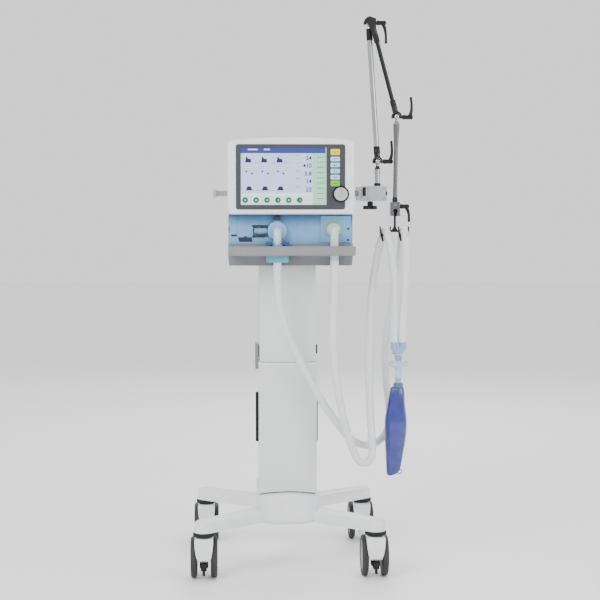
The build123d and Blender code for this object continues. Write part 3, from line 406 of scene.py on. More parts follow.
def turned(name, base, axis, profile, made_finish, body, steps=48, wobble=None, **options):
    """A piece turned about an axis."""
    shape = bmesh.new()
    add_lathe(shape, base, axis, profile, steps, wobble)
    return piece_from(name, shape, made_finish, body, **options)


# ------------------------------------------------------------------ hoses
HOSE_RADIUS = 0.01225
RIB_PITCH = 0.0046
RIB_ROWS = 5
RIB_DEPTH = 0.0009
HOSE_ROUTES = {
    "expiratory_hose": [
        (-0.035, -0.187, 0.965), (-0.035, -0.187, 0.865), (-0.016, -0.185, 0.768), (0.026, -0.176, 0.672),
        (0.070, -0.164, 0.584), (0.112, -0.149, 0.512), (0.158, -0.133, 0.449), (0.188, -0.120, 0.410),
        (0.218, -0.094, 0.386), (0.252, -0.072, 0.376), (0.286, -0.052, 0.384), (0.312, -0.035, 0.406),
        (0.326, -0.025, 0.442), (0.324, -0.021, 0.496), (0.313, -0.022, 0.580), (0.309, -0.029, 0.665),
        (0.316, -0.040, 0.750), (0.333, -0.044, 0.830), (0.347, -0.049, 0.910), (0.355, -0.054, 0.985),
        (0.358, -0.0555, 1.051), (0.362, -0.1045, 1.051), (0.366, -0.106, 0.985), (0.365, -0.104, 0.905),
        (0.360, -0.099, 0.825), (0.3575, -0.091, 0.755), (0.3575, -0.091, 0.704),
    ],
    "inspiratory_hose": [
        (0.138, -0.187, 0.965), (0.138, -0.187, 0.875), (0.133, -0.186, 0.785), (0.135, -0.185, 0.695),
        (0.143, -0.184, 0.608), (0.156, -0.179, 0.528), (0.171, -0.172, 0.460), (0.188, -0.163, 0.406),
        (0.206, -0.153, 0.356), (0.223, -0.147, 0.333), (0.250, -0.139, 0.336), (0.262, -0.132, 0.363),
        (0.259, -0.124, 0.418), (0.254, -0.112, 0.500), (0.253, -0.098, 0.600), (0.254, -0.084, 0.700),
        (0.258, -0.072, 0.800), (0.267, -0.063, 0.895), (0.283, -0.057, 0.985), (0.300, -0.0555, 1.051),
        (0.306, -0.1045, 1.051), (0.320, -0.106, 0.985), (0.330, -0.104, 0.905), (0.332, -0.099, 0.825),
        (0.3315, -0.091, 0.755), (0.3315, -0.091, 0.704),
    ],
}
ARM_CHAIN = ["root", "arm_post", "arm_tube_1", "arm_tube_2", "arm_tube_3", "hose_holder"]
RISE_LENGTH = 0.149


def hose_line(name):
    """Closely spaced points along a hose's smooth centreline, with the distance to each."""
    data = bpy.data.curves.new(name + "_line", "CURVE")
    data.dimensions = "3D"
    data.resolution_u = 40
    spline = data.splines.new("NURBS")
    route = HOSE_ROUTES[name]
    spline.points.add(len(route) - 1)
    for point, (x, y, z) in zip(spline.points, route):
        point.co = (AXIS.x + x, AXIS.y + y, z, 1)
    spline.order_u = 3
    spline.use_endpoint_u = True
    guide = bpy.data.objects.new(name + "_line", data)
    bpy.context.scene.collection.objects.link(guide)
    bpy.context.view_layer.update()
    mesh = bpy.data.meshes.new_from_object(guide)
    points = [vertex.co.copy() for vertex in mesh.vertices]
    bpy.data.objects.remove(guide)
    distances = [0.0]
    for before, after in zip(points, points[1:]):
        distances.append(distances[-1] + (after - before).length)
    return points, distances


def point_along(points, distances, distance):
    """The point at a distance along a line of points."""
    low, high = 0, len(points) - 1
    while high - low > 1:
        middle = (low + high) // 2
        if distances[middle] <= distance:
            low = middle
        else:
            high = middle
    share = (distance - distances[low]) / max(distances[high] - distances[low], 1e-9)
    return points[low].lerp(points[high], min(max(share, 0.0), 1.0))


def hose_stretch(name, line, start, end, made_finish):
    """A ribbed length of hose between two distances along its line, and the points it follows."""
    points, distances = line
    count = max(12, round((end - start) / RIB_PITCH * RIB_ROWS))
    path = []
    radii = []
    for step in range(count + 1):
        distance = start + (end - start) * step / count
        path.append(point_along(points, distances, distance))
        crest = math.cos(2 * math.pi * distance / RIB_PITCH)
        radii.append(HOSE_RADIUS - RIB_DEPTH * (1 - crest) / 2)
    shape = bmesh.new()
    add_tube(shape, path, radii)
    return piece_from(name, shape, made_finish, None, slot="hose", sharp=80), path


def make_hose(name, finishes):
    """One hose: a still part from the port, a length across each joint of the arm, and the limb
    that hangs from its cradle to the Y-piece."""
    line = hose_line(name)
    points, distances = line
    total = distances[-1]
    hook = max(range(len(points)), key=lambda i: points[i].z if distances[i] > total / 2 else 0)
    cuts = [distances[hook] - RISE_LENGTH * (5 - step) for step in range(6)]
    stretches = [("port", 0.0, cuts[0], "root", "root")]
    for step, (low, high) in enumerate(zip(cuts, cuts[1:])):
        stretches.append(("rise_%d" % (step + 1), low, high, ARM_CHAIN[step], ARM_CHAIN[step + 1]))
    stretches.append(("limb", cuts[-1], total, "hose_holder", "hose_holder"))
    for label, start, end, from_body, to_body in stretches:
        piece, path = hose_stretch(name + "_" + label, line, start, end, finishes["hose"])
        if from_body == to_body:
            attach(piece, from_body)
        else:
            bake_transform(piece)
        if label == "port":
            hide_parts(name)
        cuff = []
        if label in ("port", "limb"):
            cuff = [hose_cuff(name + "_" + label + "_cuff", line, label == "limb", from_body, finishes)]


def hose_cuff(name, line, at_far_end, body, finishes):
    """Smooth rubber cuff on a hose's end, with two rolled rims."""
    points, distances = line
    length = 0.03
    steps = 24
    path = []
    radii = []
    for step in range(steps + 1):
        distance = length * step / steps
        reach = distances[-1] - distance if at_far_end else distance
        path.append(point_along(points, distances, reach))
        rim = 0.0009 if step in (1, 2, 20, 21, 22) else 0.0
        radii.append(HOSE_RADIUS + 0.0006 + rim - (0.0009 if step in (0, steps) else 0))
    shape = bmesh.new()
    add_tube(shape, path, radii, 32)
    return piece_from(name, shape, finishes["cuff"], body, slot="hose")


# ------------------------------------------------------------------ breathing circuit
HANG_X = 344.5
HANG_Y = -91.0
Y_SPREAD = 13.0


def make_y_piece(finishes):
    """Y-piece: two cuffs above, a tapering body, a collar and stem below, a sampling port."""
    shape = bmesh.new()
    for side in (-1, 1):
        port = at(HANG_X + side * Y_SPREAD, HANG_Y, 704)
        add_lathe(shape, port, (0, 0, -1), [(0, 11.0), (0, 12.2), (3, 12.2), (4, 11.5), (18, 11.5)], 36)
    sections = [
        (690, 25.0, 12.0), (686, 25.8, 12.4), (680, 22.5, 12.0), (673, 16.5, 11.4), (668, 12.0, 10.9),
        (660, 11.2, 11.0), (659, 12.8, 12.8), (656, 12.8, 12.8), (655, 10.8, 10.8), (647, 10.8, 10.8),
    ]
    rings = []
    for z, half_width, half_depth in sections:
        ring = []
        for step in range(48):
            angle = 2 * math.pi * step / 48
            ring.append(at(HANG_X + half_width * math.cos(angle), HANG_Y + half_depth * math.sin(angle), z))
        rings.append(ring)
    add_rings(shape, rings)
    add_lathe(shape, at(HANG_X, HANG_Y, 669), (-1, 0, 0), [
        (8, 3.0), (14, 3.0), (14.5, 4.2), (17, 4.2), (17.5, 2.6), (20.5, 2.3), (21, 1.6),
    ], 24)
    piece_from("y_piece_body", shape, finishes["connector"], "hose_holder", ("y_piece",), "connector_blue")
    turned("y_piece_ring", at(HANG_X, HANG_Y, 667), (0, 0, -1),
           [(0, 12.2), (0.6, 12.9), (2.4, 12.9), (3, 12.2)], finishes["filter_white"], "hose_holder",
           slot="connector_blue")


def make_filter(finishes):
    """Flat round filter: two welded shells, a ribbed rim, and a port below."""
    profile = [
        (647, 10.5), (646.5, 17.0), (644, 21.0), (641.5, 30.0), (640, 31.5), (639.3, 33.0), (636.4, 33.0),
        (636, 32.2), (635.2, 32.2), (634.8, 33.0), (632, 33.0), (631, 31.5), (629, 29.0), (624, 19.5),
        (621.5, 15.0), (620, 11.2), (612, 10.8), (596, 10.4), (593, 10.4),
    ]
    base = at(HANG_X, HANG_Y, 0)
    turned("filter_body", base, (0, 0, 1), profile[::-1], finishes["filter_white"], "hose_holder", 96,
           replaces=("breathing_filter",), slot="connector_blue")
    shape = bmesh.new()
    for step in range(12):
        angle = 2 * math.pi * step / 12
        foot = Vector((math.cos(angle), math.sin(angle), 0))
        start = at(HANG_X, HANG_Y, 646.2) + foot * 0.0175
        end = at(HANG_X, HANG_Y, 642.2) + foot * 0.0285
        add_tube(shape, [start, start.lerp(end, 0.5), end], [0.0007, 0.0007, 0.0007], 8)
    piece_from("filter_ribs", shape, finishes["filter_white"], "hose_holder", slot="connector_blue")


BAG_SECTIONS = [
    (567, 343.0, 12.0, 11.5), (561, 341.0, 19.5, 16.5), (545, 340.0, 23.0, 20.0), (520, 339.0, 26.0, 23.0),
    (497, 338.2, 29.0, 26.0), (475, 337.8, 32.8, 28.0), (459, 337.7, 34.8, 29.0), (440, 337.6, 35.0, 28.6),
    (415, 336.8, 33.5, 26.6), (385, 335.4, 30.8, 23.6), (360, 334.0, 28.2, 20.6), (330, 332.5, 24.6, 16.4),
    (302, 331.0, 21.0, 11.6), (290, 326.0, 15.0, 7.4), (284.5, 321.0, 6.0, 4.0),
]


def make_test_lung(finishes):
    """Rubber bag: it hangs from its gathered neck, fills out, and ends in a flat tail with a ring."""
    steps = 96
    rows = 110
    top = BAG_SECTIONS[0][0]
    bottom = BAG_SECTIONS[-1][0]
    rings = []
    for row in range(rows + 1):
        z = top + (bottom - top) * (row / rows)
        centre_x, half_width, half_depth = bag_section(z)
        gather = math.exp(-(top - z) / 26.0)
        tail = math.exp(-(z - bottom) / 22.0)
        ring = []
        for step in range(steps):
            angle = 2 * math.pi * step / steps
            across, depth = math.cos(angle), math.sin(angle)
            pleats = 1 + 0.05 * gather * math.cos(15 * angle + 1.5 * math.sin(3 * angle))
            slack = 1 + 0.035 * noise.noise(Vector((across * 1.3, depth * 1.3, z * 0.022)))
            crease = 1 - 0.05 * tail * math.cos(7 * angle)
            share = pleats * slack * crease
            seam = 0.55 * math.exp(-((abs(across) - 1) / 0.004) ** 2)
            x = centre_x + half_width * across * share + math.copysign(seam, across)
            ring.append(at(x, HANG_Y + half_depth * depth * share, z))
        rings.append(ring)
    shape = bmesh.new()
    add_rings(shape, rings)
    piece_from("bag", shape, finishes["bag"], "hose_holder", ("test_lung",), "bag_blue", sharp=70)
    turned("bag_collar", at(HANG_X, HANG_Y, 556), (0, 0, 1), [
        (0, 12.5), (0.8, 14.6), (4, 15.2), (5, 14.4), (7, 14.4), (8, 15.3), (14, 15.5),
        (19, 14.8), (21, 12.4),
    ], finishes["bag_neck"], "hose_holder", 64, slot="bag_blue")
    turned("bag_neck", at(HANG_X, HANG_Y, 574), (0, 0, 1), [
        (0, 10.5), (3, 10.2), (8, 9.2), (12, 9.0), (13, 10.2), (16, 10.4), (17.5, 10.0), (19, 9.0),
    ], finishes["connector"], "hose_holder", 48, slot="connector_blue")
    ring_middle = at(350, HANG_Y, 297)
    loop = []
    for step in range(41):
        angle = 2 * math.pi * step / 40
        loop.append(ring_middle + Vector((math.cos(angle) * 7.5 * MM, 0, math.sin(angle) * 6.5 * MM)))
    shape = bmesh.new()
    add_tube(shape, loop, [1.5 * MM] * len(loop), 12)
    piece_from("bag_hanging_ring", shape, finishes["bag"], "hose_holder", slot="bag_blue")


def bag_section(z):
    """Middle, half width and half depth of the bag at a height, smooth between its sections."""
    for upper, lower in zip(BAG_SECTIONS, BAG_SECTIONS[1:]):
        if upper[0] >= z >= lower[0]:
            share = (upper[0] - z) / (upper[0] - lower[0])
            return [a + (b - a) * share for a, b in zip(upper[1:], lower[1:])]
    return BAG_SECTIONS[-1][1:]


# ------------------------------------------------------------------ castors
CORNERS = ("front_left", "front_right", "rear_left", "rear_right")
TYRE_WIDTH = 0.02
WHEEL_PROFILE_TYRE = [
    (0.6, 48), (0, 52), (0.4, 57), (2.2, 60.6), (5, 62.1), (10, 62.5), (15, 62.1), (17.8, 60.6), (19.6, 57),
    (20, 52), (19.4, 48), (17, 46.4), (3, 46.4),
]
WHEEL_PROFILE_HUB = [
    (1.2, 10), (1.2, 46.6), (16.6, 46.6), (17.6, 45.6), (17.2, 42), (15.2, 38), (14.4, 30), (15.4, 20),
    (18.2, 16.5), (19.2, 14), (19.4, 9), (19.6, 6),
]


def make_wheels(finishes):
    """Each castor's two wheels: a tyre with rounded shoulders and a dished hub with its cap."""
    for corner in CORNERS:
        node = "caster_wheels_" + corner
        low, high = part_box(node)
        middle = (low + high) / 2
        half_gap = (high.x - low.x) / 2 - TYRE_WIDTH
        body = "wheels_" + corner
        tyres = bmesh.new()
        hubs = bmesh.new()
        for side in (-1, 1):
            inner = middle + Vector((side * half_gap, 0, 0))
            add_lathe(tyres, inner, (side, 0, 0), WHEEL_PROFILE_TYRE, 72)
            add_lathe(hubs, inner, (side, 0, 0), WHEEL_PROFILE_HUB, 64)
            for step in range(6):
                angle = math.pi / 3 * step
                spoke = Vector((0, math.cos(angle), math.sin(angle)))
                start = inner + Vector((side * 0.0152, 0, 0)) + spoke * 0.018
                end = inner + Vector((side * 0.0146, 0, 0)) + spoke * 0.037
                add_tube(hubs, [start, start.lerp(end, 0.5), end], [0.0022, 0.0019, 0.0016], 10)
        axle_start = middle - Vector((half_gap, 0, 0))
        add_lathe(hubs, axle_start, (1, 0, 0), [(0, 5.9), (half_gap * 2000, 5.9)], 32)
        piece_from("tyres_" + corner, tyres, finishes["tread"], body, (node,), "wheel")
        piece_from("hubs_" + corner, hubs, finishes["hub"], body, slot="wheel")


# ------------------------------------------------------------------ arm details
def make_levers(finishes):
    """Clamping levers: a waisted hub on a stud, and a handle that swells towards its tip."""
    levers = {
        "clamp_lever_post": ((296, -62, 1265), 29, (323, 1326)),
        "clamp_lever_top": ((272, -80, 1689), 28, (303, 1629)),
        "clamp_lever_elbow": ((353, -80, 1401), 31, (381, 1460)),
        "clamp_lever_end": ((348, -80, 1126), 26, (377, 1081)),
    }
    for name, ((x, y, z), reach, (tip_x, tip_z)) in levers.items():
        shape = bmesh.new()
        add_lathe(shape, at(x, y, z), (1, 0, 0), [
            (-4.8, 2.9), (1, 2.9), (1.5, 6.0), (3, 7.4), (7, 7.7), (10, 7.0), (reach - 12, 6.6),
            (reach - 5, 7.2), (reach - 1, 7.2), (reach + 2, 5.8), (reach + 3.4, 3.4), (reach + 3.8, 0.5),
        ], 32)
        heel = at(x + reach - 9, y, z)
        turn = at(x + reach + 4, y, z + (tip_z - z) * 0.25)
        tip = at(tip_x, y, tip_z)
        path = []
        radii = []
        for step in range(31):
            share = step / 30
            path.append(heel.lerp(turn, share).lerp(turn.lerp(tip, share), share))
            radii.append((6.9 - 3.4 * math.sin(math.pi / 2 * share) + 0.7 * share ** 6) * MM)
        axis = (tip - turn).normalized()
        for distance, radius in ((1.6, 4.0), (2.8, 3.1), (3.4, 1.8), (3.7, 0.5)):
            path.append(tip + axis * distance * MM)
            radii.append(radius * MM)
        add_tube(shape, path, radii, 24)
        piece_from(name + "_moulding", shape, finishes["black"], name, (name,), "arm_black")


def ring_on_line(name, start, end, distance, profile, made_finish, body, slot):
    """A turned collar on the line from start to end, at a distance in millimetres."""
    axis = (end - start).normalized()
    turned(name, start + axis * distance * MM, axis, profile, made_finish, body, 40, slot=slot)


def arm_points():
    """Places of the arm's four upper joints, and where its second tube starts."""
    names = ("arm_lower_joint", "arm_top_joint", "arm_elbow_joint", "hose_holder_swivel")
    return [joint_place(name) for name in names] + [at(263, -80, 1679)]


def make_arm_details(finishes):
    """Collars, grips and ferrules on the arm's post and tubes, and the end block's plug."""
    lower, top, elbow, holder, start = arm_points()
    collar = [(0, 8.8), (0.8, 10.2), (12, 10.2), (13, 9.6), (15, 9.6), (16, 10.2), (22, 9.9), (23, 8.8)]
    ring_on_line("arm_collar_lower", lower, top, 24, collar, finishes["black"], "arm_tube_1", "arm_black")
    sleeve = [(0, 8.7), (0.5, 9.5), (34, 9.7), (35, 9.2), (36, 8.7)]
    ring_on_line("arm_collar_upper", top, lower, 18, sleeve, finishes["black"], "arm_tube_1", "arm_black")
    grip = [(0, 7.8), (0.6, 9.2), (3, 9.2), (3.6, 8.7), (6, 8.7), (6.6, 9.2), (24, 9.0), (25, 7.8)]
    ring_on_line("arm_collar_bend", start, elbow, 26, grip, finishes["black"], "arm_tube_2", "arm_black")
    ring_on_line("arm_collar_elbow", elbow, start, 27, grip, finishes["black"], "arm_tube_2", "arm_black")
    post_foot = Vector((lower.x, lower.y, 1.189))
    turned("arm_post_collar", post_foot, (0, 0, 1), [
        (0.4, 9.6), (1, 10.4), (8, 10.4), (9, 9.6), (9.4, 7.7),
    ], finishes["black"], "arm_post", 40, slot="arm_black")
    foot = Vector((holder.x, holder.y, 1.138))
    ring_on_line("arm_tube_3_ferrule", foot, elbow, 2.2,
                 [(0, 6.7), (0.4, 8.6), (9, 8.6), (10, 7.8), (13, 7.4), (14, 6.7)],
                 finishes["black"], "arm_tube_3", "arm_black")
    turned("end_block_face", at(332.5, -95, 1131), (0, -1, 0), [(-0.6, 3.4), (0.5, 3.4), (0.9, 2.8)],
           finishes["grey_paint"], "arm_tube_3", 24, slot="tube_silver")


def make_clamp_details(finishes):
    """Cap screws in the clamp block's front, its dark jaw at the rail and painted shade in the socket's slot.
    """
    for index, (x, z) in enumerate(((248, 1180), (298, 1180), (248, 1151), (298, 1151))):
        cap_screw("clamp_screw_%d" % (index + 1), at(x, -95, z), (0, -1, 0), 3.6, finishes["steel"], "root")
    shape = bmesh.new()
    add_block(shape, at(231, -95.8, 1158), at(241, -94.6, 1185), 0.0005)
    # A dark plate on the socket's slot: painted shade inside the slot.
    add_block(shape, at(303, -95.8, 1160), at(307.4, -94.6, 1172), 0.0005)
    piece_from("clamp_jaws", shape, finishes["rubber"], "root", slot="clamp_grey")


def cap_screw(name, place, axis, radius, made_finish, body):
    """Low screw head with a socket in its middle."""
    shape = bmesh.new()
    add_lathe(shape, place, axis, [
        (-1, radius), (0.8, radius), (1.3, radius - 0.5), (1.3, radius * 0.5), (0.2, radius * 0.46),
    ], 24)
    piece_from(name, shape, made_finish, body)


# ------------------------------------------------------------------ display
SCREEN_Y = -199.5
SCREEN_X = (-145.4, 112.9)
SCREEN_Z = (1131.6, 1304.4)
SCREEN_LAYERS = {"tile": 0.12, "mark": 0.24, "top": 0.36}
COLUMN_LEFT = 71.3
HEADER_BOTTOM = 1286.7
BAND_TOP = 1158.0
BAR_TOP = 1277
BAR_PITCH = 15.6
BUTTON_LEFT = -132.2
BUTTON_PITCH = 32.8
UPPER_AXIS = 1259.3
LOWER_AXIS = 1175.4
PULSE_LEFT = (-132.2, -84.3, -37.8)
SETTINGS = ("21", "45", "12", "5", "20", "1")
VALUES = ((1266.5, "24"), (1243.5, "410"), (1220, "5.8"), (1197, "14"), (1172, "22"))
KEYS = ("key_silence", "key_reset", "key_freeze", "key_print", "key_suction", "key_standby")


def screen_patch(name, x_limits, z_limits, layer, made_finish, radius=1.0):
    shape = bmesh.new()
    front = SCREEN_Y - SCREEN_LAYERS[layer]
    add_plate(shape, round_outline(x_limits, z_limits, radius), (SCREEN_Y + 0.3, front))
    piece_from(name, shape, made_finish, "root", slot="screen", sharp=20)


def screen_shape(name, outline, layer, made_finish):
    """A flat figure on the screen, through corner points in X and Z."""
    shape = bmesh.new()
    add_plate(shape, outline, (SCREEN_Y + 0.3, SCREEN_Y - SCREEN_LAYERS[layer]))
    piece_from(name, shape, made_finish, "root", slot="screen", sharp=20)


def number(name, text, x, z, size, made_finish):
    """A value on the screen, its last figure ending at x."""
    data = bpy.data.curves.new(name, "FONT")
    data.body = text
    data.align_x = "RIGHT"
    data.size = size * MM
    data.extrude = 0.00006
    data.offset = 0.00025
    data.resolution_u = 3
    guide = bpy.data.objects.new(name + "_guide", data)
    bpy.context.scene.collection.objects.link(guide)
    bpy.context.view_layer.update()
    mesh = bpy.data.meshes.new_from_object(guide)
    bpy.data.objects.remove(guide)
    mesh.transform(Matrix.Rotation(math.pi / 2, 4, "X"))
    mesh.transform(Matrix.Translation(at(x, SCREEN_Y - SCREEN_LAYERS["top"], z)))
    mesh.materials.clear()
    mesh.materials.append(made_finish)
    piece = bpy.data.objects.new(name, mesh)
    bpy.context.scene.collection.objects.link(piece)
    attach(piece, "root")


def make_screen(finishes):
    """What the screen shows: a header, breath traces, values, a green column, six buttons."""
    trace = finishes["screen_trace"]
    screen_patch("screen_header", (SCREEN_X[0], 110), (HEADER_BOTTOM, SCREEN_Z[1]), "tile",
                 finishes["screen_header"])
    screen_patch("screen_column", (COLUMN_LEFT, SCREEN_X[1]), (SCREEN_Z[0], HEADER_BOTTOM - 0.5), "tile",
                 finishes["screen_column"])
    screen_patch("screen_band", (SCREEN_X[0], COLUMN_LEFT - 0.5), (SCREEN_Z[0], BAND_TOP), "tile",
                 finishes["screen_band"])
    screen_patch("screen_strip", (SCREEN_X[0], COLUMN_LEFT - 0.5), (BAND_TOP + 0.5, 1167), "tile",
                 finishes["screen_strip"])
    for index, (low, high) in enumerate(((-124, -94), (-76, -58))):
        screen_patch("screen_header_mark_%d" % (index + 1), (low, high), (1296, 1299.5), "mark",
                     finishes["screen_light"])
    for index in range(9):
        z = BAR_TOP - BAR_PITCH * index
        screen_patch("screen_bar_%d" % (index + 1), (84, 107), (z - 3.2, z), "mark", finishes["screen_bar"])
    for index, setting in enumerate(SETTINGS):
        x = BUTTON_LEFT + BUTTON_PITCH * index
        shape = bmesh.new()
        add_lathe(shape, at(x, SCREEN_Y + 0.3, 1146.1), (0, -1, 0), [(0, 8.8), (0.5, 8.8), (0.55, 8.2)], 48)
        piece_from("screen_button_%d" % (index + 1), shape, finishes["screen_button"], "root", slot="screen")
        number("screen_setting_%d" % (index + 1), setting, x + 3.2, 1144, 5.4, finishes["screen_light"])
    for index, left in enumerate(PULSE_LEFT):
        upper = [(0, UPPER_AXIS), (3, 1276), (5.6, 1276), (9, 1270), (17, 1269.6), (18.6, UPPER_AXIS)]
        lower = [(2, LOWER_AXIS), (6, 1186), (8.5, 1187.4), (15.5, 1187.4), (18, 1185.5),
                 (21.5, LOWER_AXIS)]
        for label, corners in (("upper", upper), ("lower", lower)):
            outline = [(left + x, z) for x, z in corners]
            screen_shape("screen_pulse_%s_%d" % (label, index + 1), outline, "top", trace)
        for label, x, z in (("left", 4, 1232), ("right", 20.5, 1226)):
            outline = round_outline((left + x - 3, left + x + 3), (z - 2.2, z + 2.2), 2.1)
            screen_shape("screen_dot_%s_%d" % (label, index + 1), outline, "top", trace)
    for label, z, right in (("upper", UPPER_AXIS, 4.8), ("lower", LOWER_AXIS, -16)):
        outline = [(-134.9, z - 0.9), (right, z - 0.9), (right, z), (-134.9, z)]
        screen_shape("screen_axis_" + label, outline, "mark", finishes["hub"])
    for index, (z, text) in enumerate(VALUES):
        number("screen_value_%d" % (index + 1), text, 68, z, 17.5, trace)
        screen_patch("screen_label_%d" % (index + 1), (20, 32), (z + 13, z + 14.4), "mark", finishes["hub"])


def make_key_marks(finishes):
    """A plain raised mark on each key, and a shorter one below it on every other key."""
    for index, node in enumerate(KEYS):
        low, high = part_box(node)
        middle = (low + high) / 2
        shape = bmesh.new()
        half = 0.0042 + 0.0012 * (index % 3)
        add_block(shape, (middle.x - half, low.y - 0.00025, middle.z - 0.0007),
                  (middle.x + half, low.y + 0.0003, middle.z + 0.0007), 0.0002)
        if index % 2 == 0:
            add_block(shape, (middle.x - half * 0.6, low.y - 0.00025, middle.z - 0.0031),
                      (middle.x + half * 0.6, low.y + 0.0003, middle.z - 0.0019), 0.0002)
        piece_from(node + "_mark", shape, finishes["mark"], node)


def make_knob(finishes):
    """Selector: a fluted skirt, a dished face, the dark ring it turns in, and a pointer."""
    base = joint_place("rotary_knob_turn")

    def fluted(radius, angle):
        return radius * (1 - 0.035 * (0.5 + 0.5 * math.cos(24 * angle))) if radius > 0.0185 else radius

    turned("knob_cap", base, (0, -1, 0), [
        (2.2, 19.6), (2.6, 20.9), (16.5, 20.2), (19.5, 19.4), (21.2, 17.8), (21.9, 15.8), (21.4, 14.6),
        (20.6, 12), (20.2, 6), (20.1, 0.5),
    ], finishes["knob"], "rotary_knob", 144, fluted, replaces=("rotary_knob",), slot="knob_grey")
    turned("knob_face", base, (0, -1, 0), [(20.0, 13.2), (21.0, 13.2), (21.4, 12.4), (20.9, 6), (20.8, 0.5)],
           finishes["clamp"], "rotary_knob", 64, slot="knob_grey")
    turned("knob_ring", base, (0, -1, 0), [
        (1.3, 21.6), (1.3, 24.9), (2.2, 24.9), (2.9, 24.2), (2.9, 22.3), (2.2, 21.6),
    ], finishes["black"], "root", 96, slot="bezel_grey")
    shape = bmesh.new()
    low, high = Vector((-0.0008, -0.0217, 0.0085)), Vector((0.0008, -0.0203, 0.0135))
    add_block(shape, base + low, base + high, 0.0003)
    piece_from("knob_pointer", shape, finishes["mark"], "rotary_knob", slot="knob_grey")


# ------------------------------------------------------------------ gas panel
PANEL_FRONT = -150.0
VALVE_X = -35
VALVE_Z = 1052
INLET_X = 138
INLET_Z = 1056
ELBOW_RADIUS = 12.4


def make_panel_details(finishes):
    """Painted shade in the gas panel's slots and recesses, the latch, a parting line and the screws of the
    gas panel.
    """
    # Navy plates fill the panel's slots and recesses: their dark is painted shade inside them.
    slots = {
        "sensor_slot_upper": round_outline((-111, -67), (1063.5, 1070.3), 1.5),
        "sensor_slot_lower": round_outline((-111, -72), (1032, 1038), 1.5),
        "trapezoid_slot": [(-154, 1033), (-137, 1033), (-133, 1036.5), (-130, 1036.5), (-126, 1033),
                           (-111, 1033), (-113, 1019.5), (-150, 1019.5)],
        "narrow_slot": round_outline((-174.5, -157), (1035.5, 1041.5), 1),
        "side_slot": round_outline((-182.9, -180), (1051, 1066), 1),
    }
    for name, outline in slots.items():
        shape = bmesh.new()
        add_plate(shape, outline, (PANEL_FRONT + 10, PANEL_FRONT - 0.5))
        piece_from("panel_" + name, shape, finishes["navy"], "root", slot="panel_blue")
    shape = bmesh.new()
    add_block(shape, at(-45.5, PANEL_FRONT - 15.6, 1083), at(-24.5, PANEL_FRONT - 2, 1097.5), 0.0015)
    piece_from("valve_latch", shape, finishes["navy"], "root", slot="port_blue")
    shape = bmesh.new()
    add_block(shape, at(-157.3, PANEL_FRONT - 0.3, 1043), at(-156.7, PANEL_FRONT + 0.5, 1092))
    piece_from("panel_parting_line", shape, finishes["holder_blue"], "root", slot="panel_blue")
    for index, (x, z, y) in enumerate(((182, 1059, -155), (182, 1025, -155), (105, 1091, -153))):
        cap_screw("panel_screw_%d" % (index + 1), at(x, y, z), (0, -1, 0), 3.1,
                  finishes["navy" if index < 2 else "cover_blue"], "root")


def make_holder_details(finishes):
    """Blue shoulders of the elbow's holder, one each side of the hose."""
    shape = bmesh.new()
    for side in (-1, 1):
        outer, upper, lower = (VALVE_X + side * reach for reach in (35.4, 17, 14))
        outline = [(outer, 1006), (outer, 1020), (upper, 1020), (lower, 1006)]
        add_plate(shape, outline if side > 0 else outline[::-1], (-207, -168))
    piece_from("holder_shoulder", shape, finishes["holder_blue"], "root", slot="port_blue")


def make_valve_details(finishes):
    """Ribs and a face ring on the valve head, rings on the flow sensor, and its cable plug."""
    centre = at(VALVE_X, PANEL_FRONT, VALVE_Z)
    shape = bmesh.new()
    for step in range(28):
        angle = 2 * math.pi * step / 28
        spoke = Vector((math.cos(angle), 0, math.sin(angle)))
        start = centre + spoke * 0.0293 + Vector((0, -0.004, 0))
        end = centre + spoke * 0.0293 + Vector((0, -0.0165, 0))
        add_tube(shape, [start, start.lerp(end, 0.5), end], [0.0011, 0.0012, 0.0009], 8)
    piece_from("valve_grip_ribs", shape, finishes["port"], "root", slot="port_blue")
    turned("valve_face_ring", centre, (0, -1, 0), [(21.5, 14.5), (21.8, 20.5), (23.2, 20.0), (23.2, 15.0)],
           finishes["port"], "root", 64, slot="port_blue")
    shape = bmesh.new()
    for x in (-101, -97, -80, -76):
        ring = [(0, 9.0), (0.2, 10.3), (1.8, 10.3), (2, 9.0)]
        add_lathe(shape, at(x, PANEL_FRONT - 2, VALVE_Z), (1, 0, 0), ring, 36)
    piece_from("flow_sensor_rings", shape, finishes["clear_blue"], "root", slot="sensor_clear")
    shape = bmesh.new()
    add_block(shape, at(-95, PANEL_FRONT - 6, 1061.5), at(-83, PANEL_FRONT + 3, 1068), 0.001)
    piece_from("flow_sensor_plug", shape, finishes["navy"], "root", slot="sensor_clear")


def make_elbow(name, x, z, y_start, node, finishes):
    """Swept elbow: forwards from its port, round a smooth bend, and down to its cuff."""
    bend_y = -187.0
    radius = 16.0
    path = []
    radii = []
    for y in (y_start, (y_start + bend_y + radius) / 2):
        if y > bend_y + radius:
            path.append(at(x, y, z))
            radii.append(ELBOW_RADIUS * MM)
    reach = min(radius, y_start - bend_y)
    for step in range(13):
        angle = math.pi / 2 * step / 12
        path.append(at(x, bend_y + reach * (1 - math.sin(angle)), z - reach * (1 - math.cos(angle))))
        radii.append(ELBOW_RADIUS * MM)
    cuff = ((1010, ELBOW_RADIUS), (999, ELBOW_RADIUS), (998.5, 12.9), (996, 12.9), (995.5, 12.5), (968, 12.5),
            (965, 12.3))
    for low, wide in cuff:
        path.append(at(x, bend_y, low))
        radii.append(wide * MM)
    shape = bmesh.new()
    add_tube(shape, path, radii, 40)
    piece_from(name, shape, finishes["elbow"], "root", (node,), "elbow_pale")


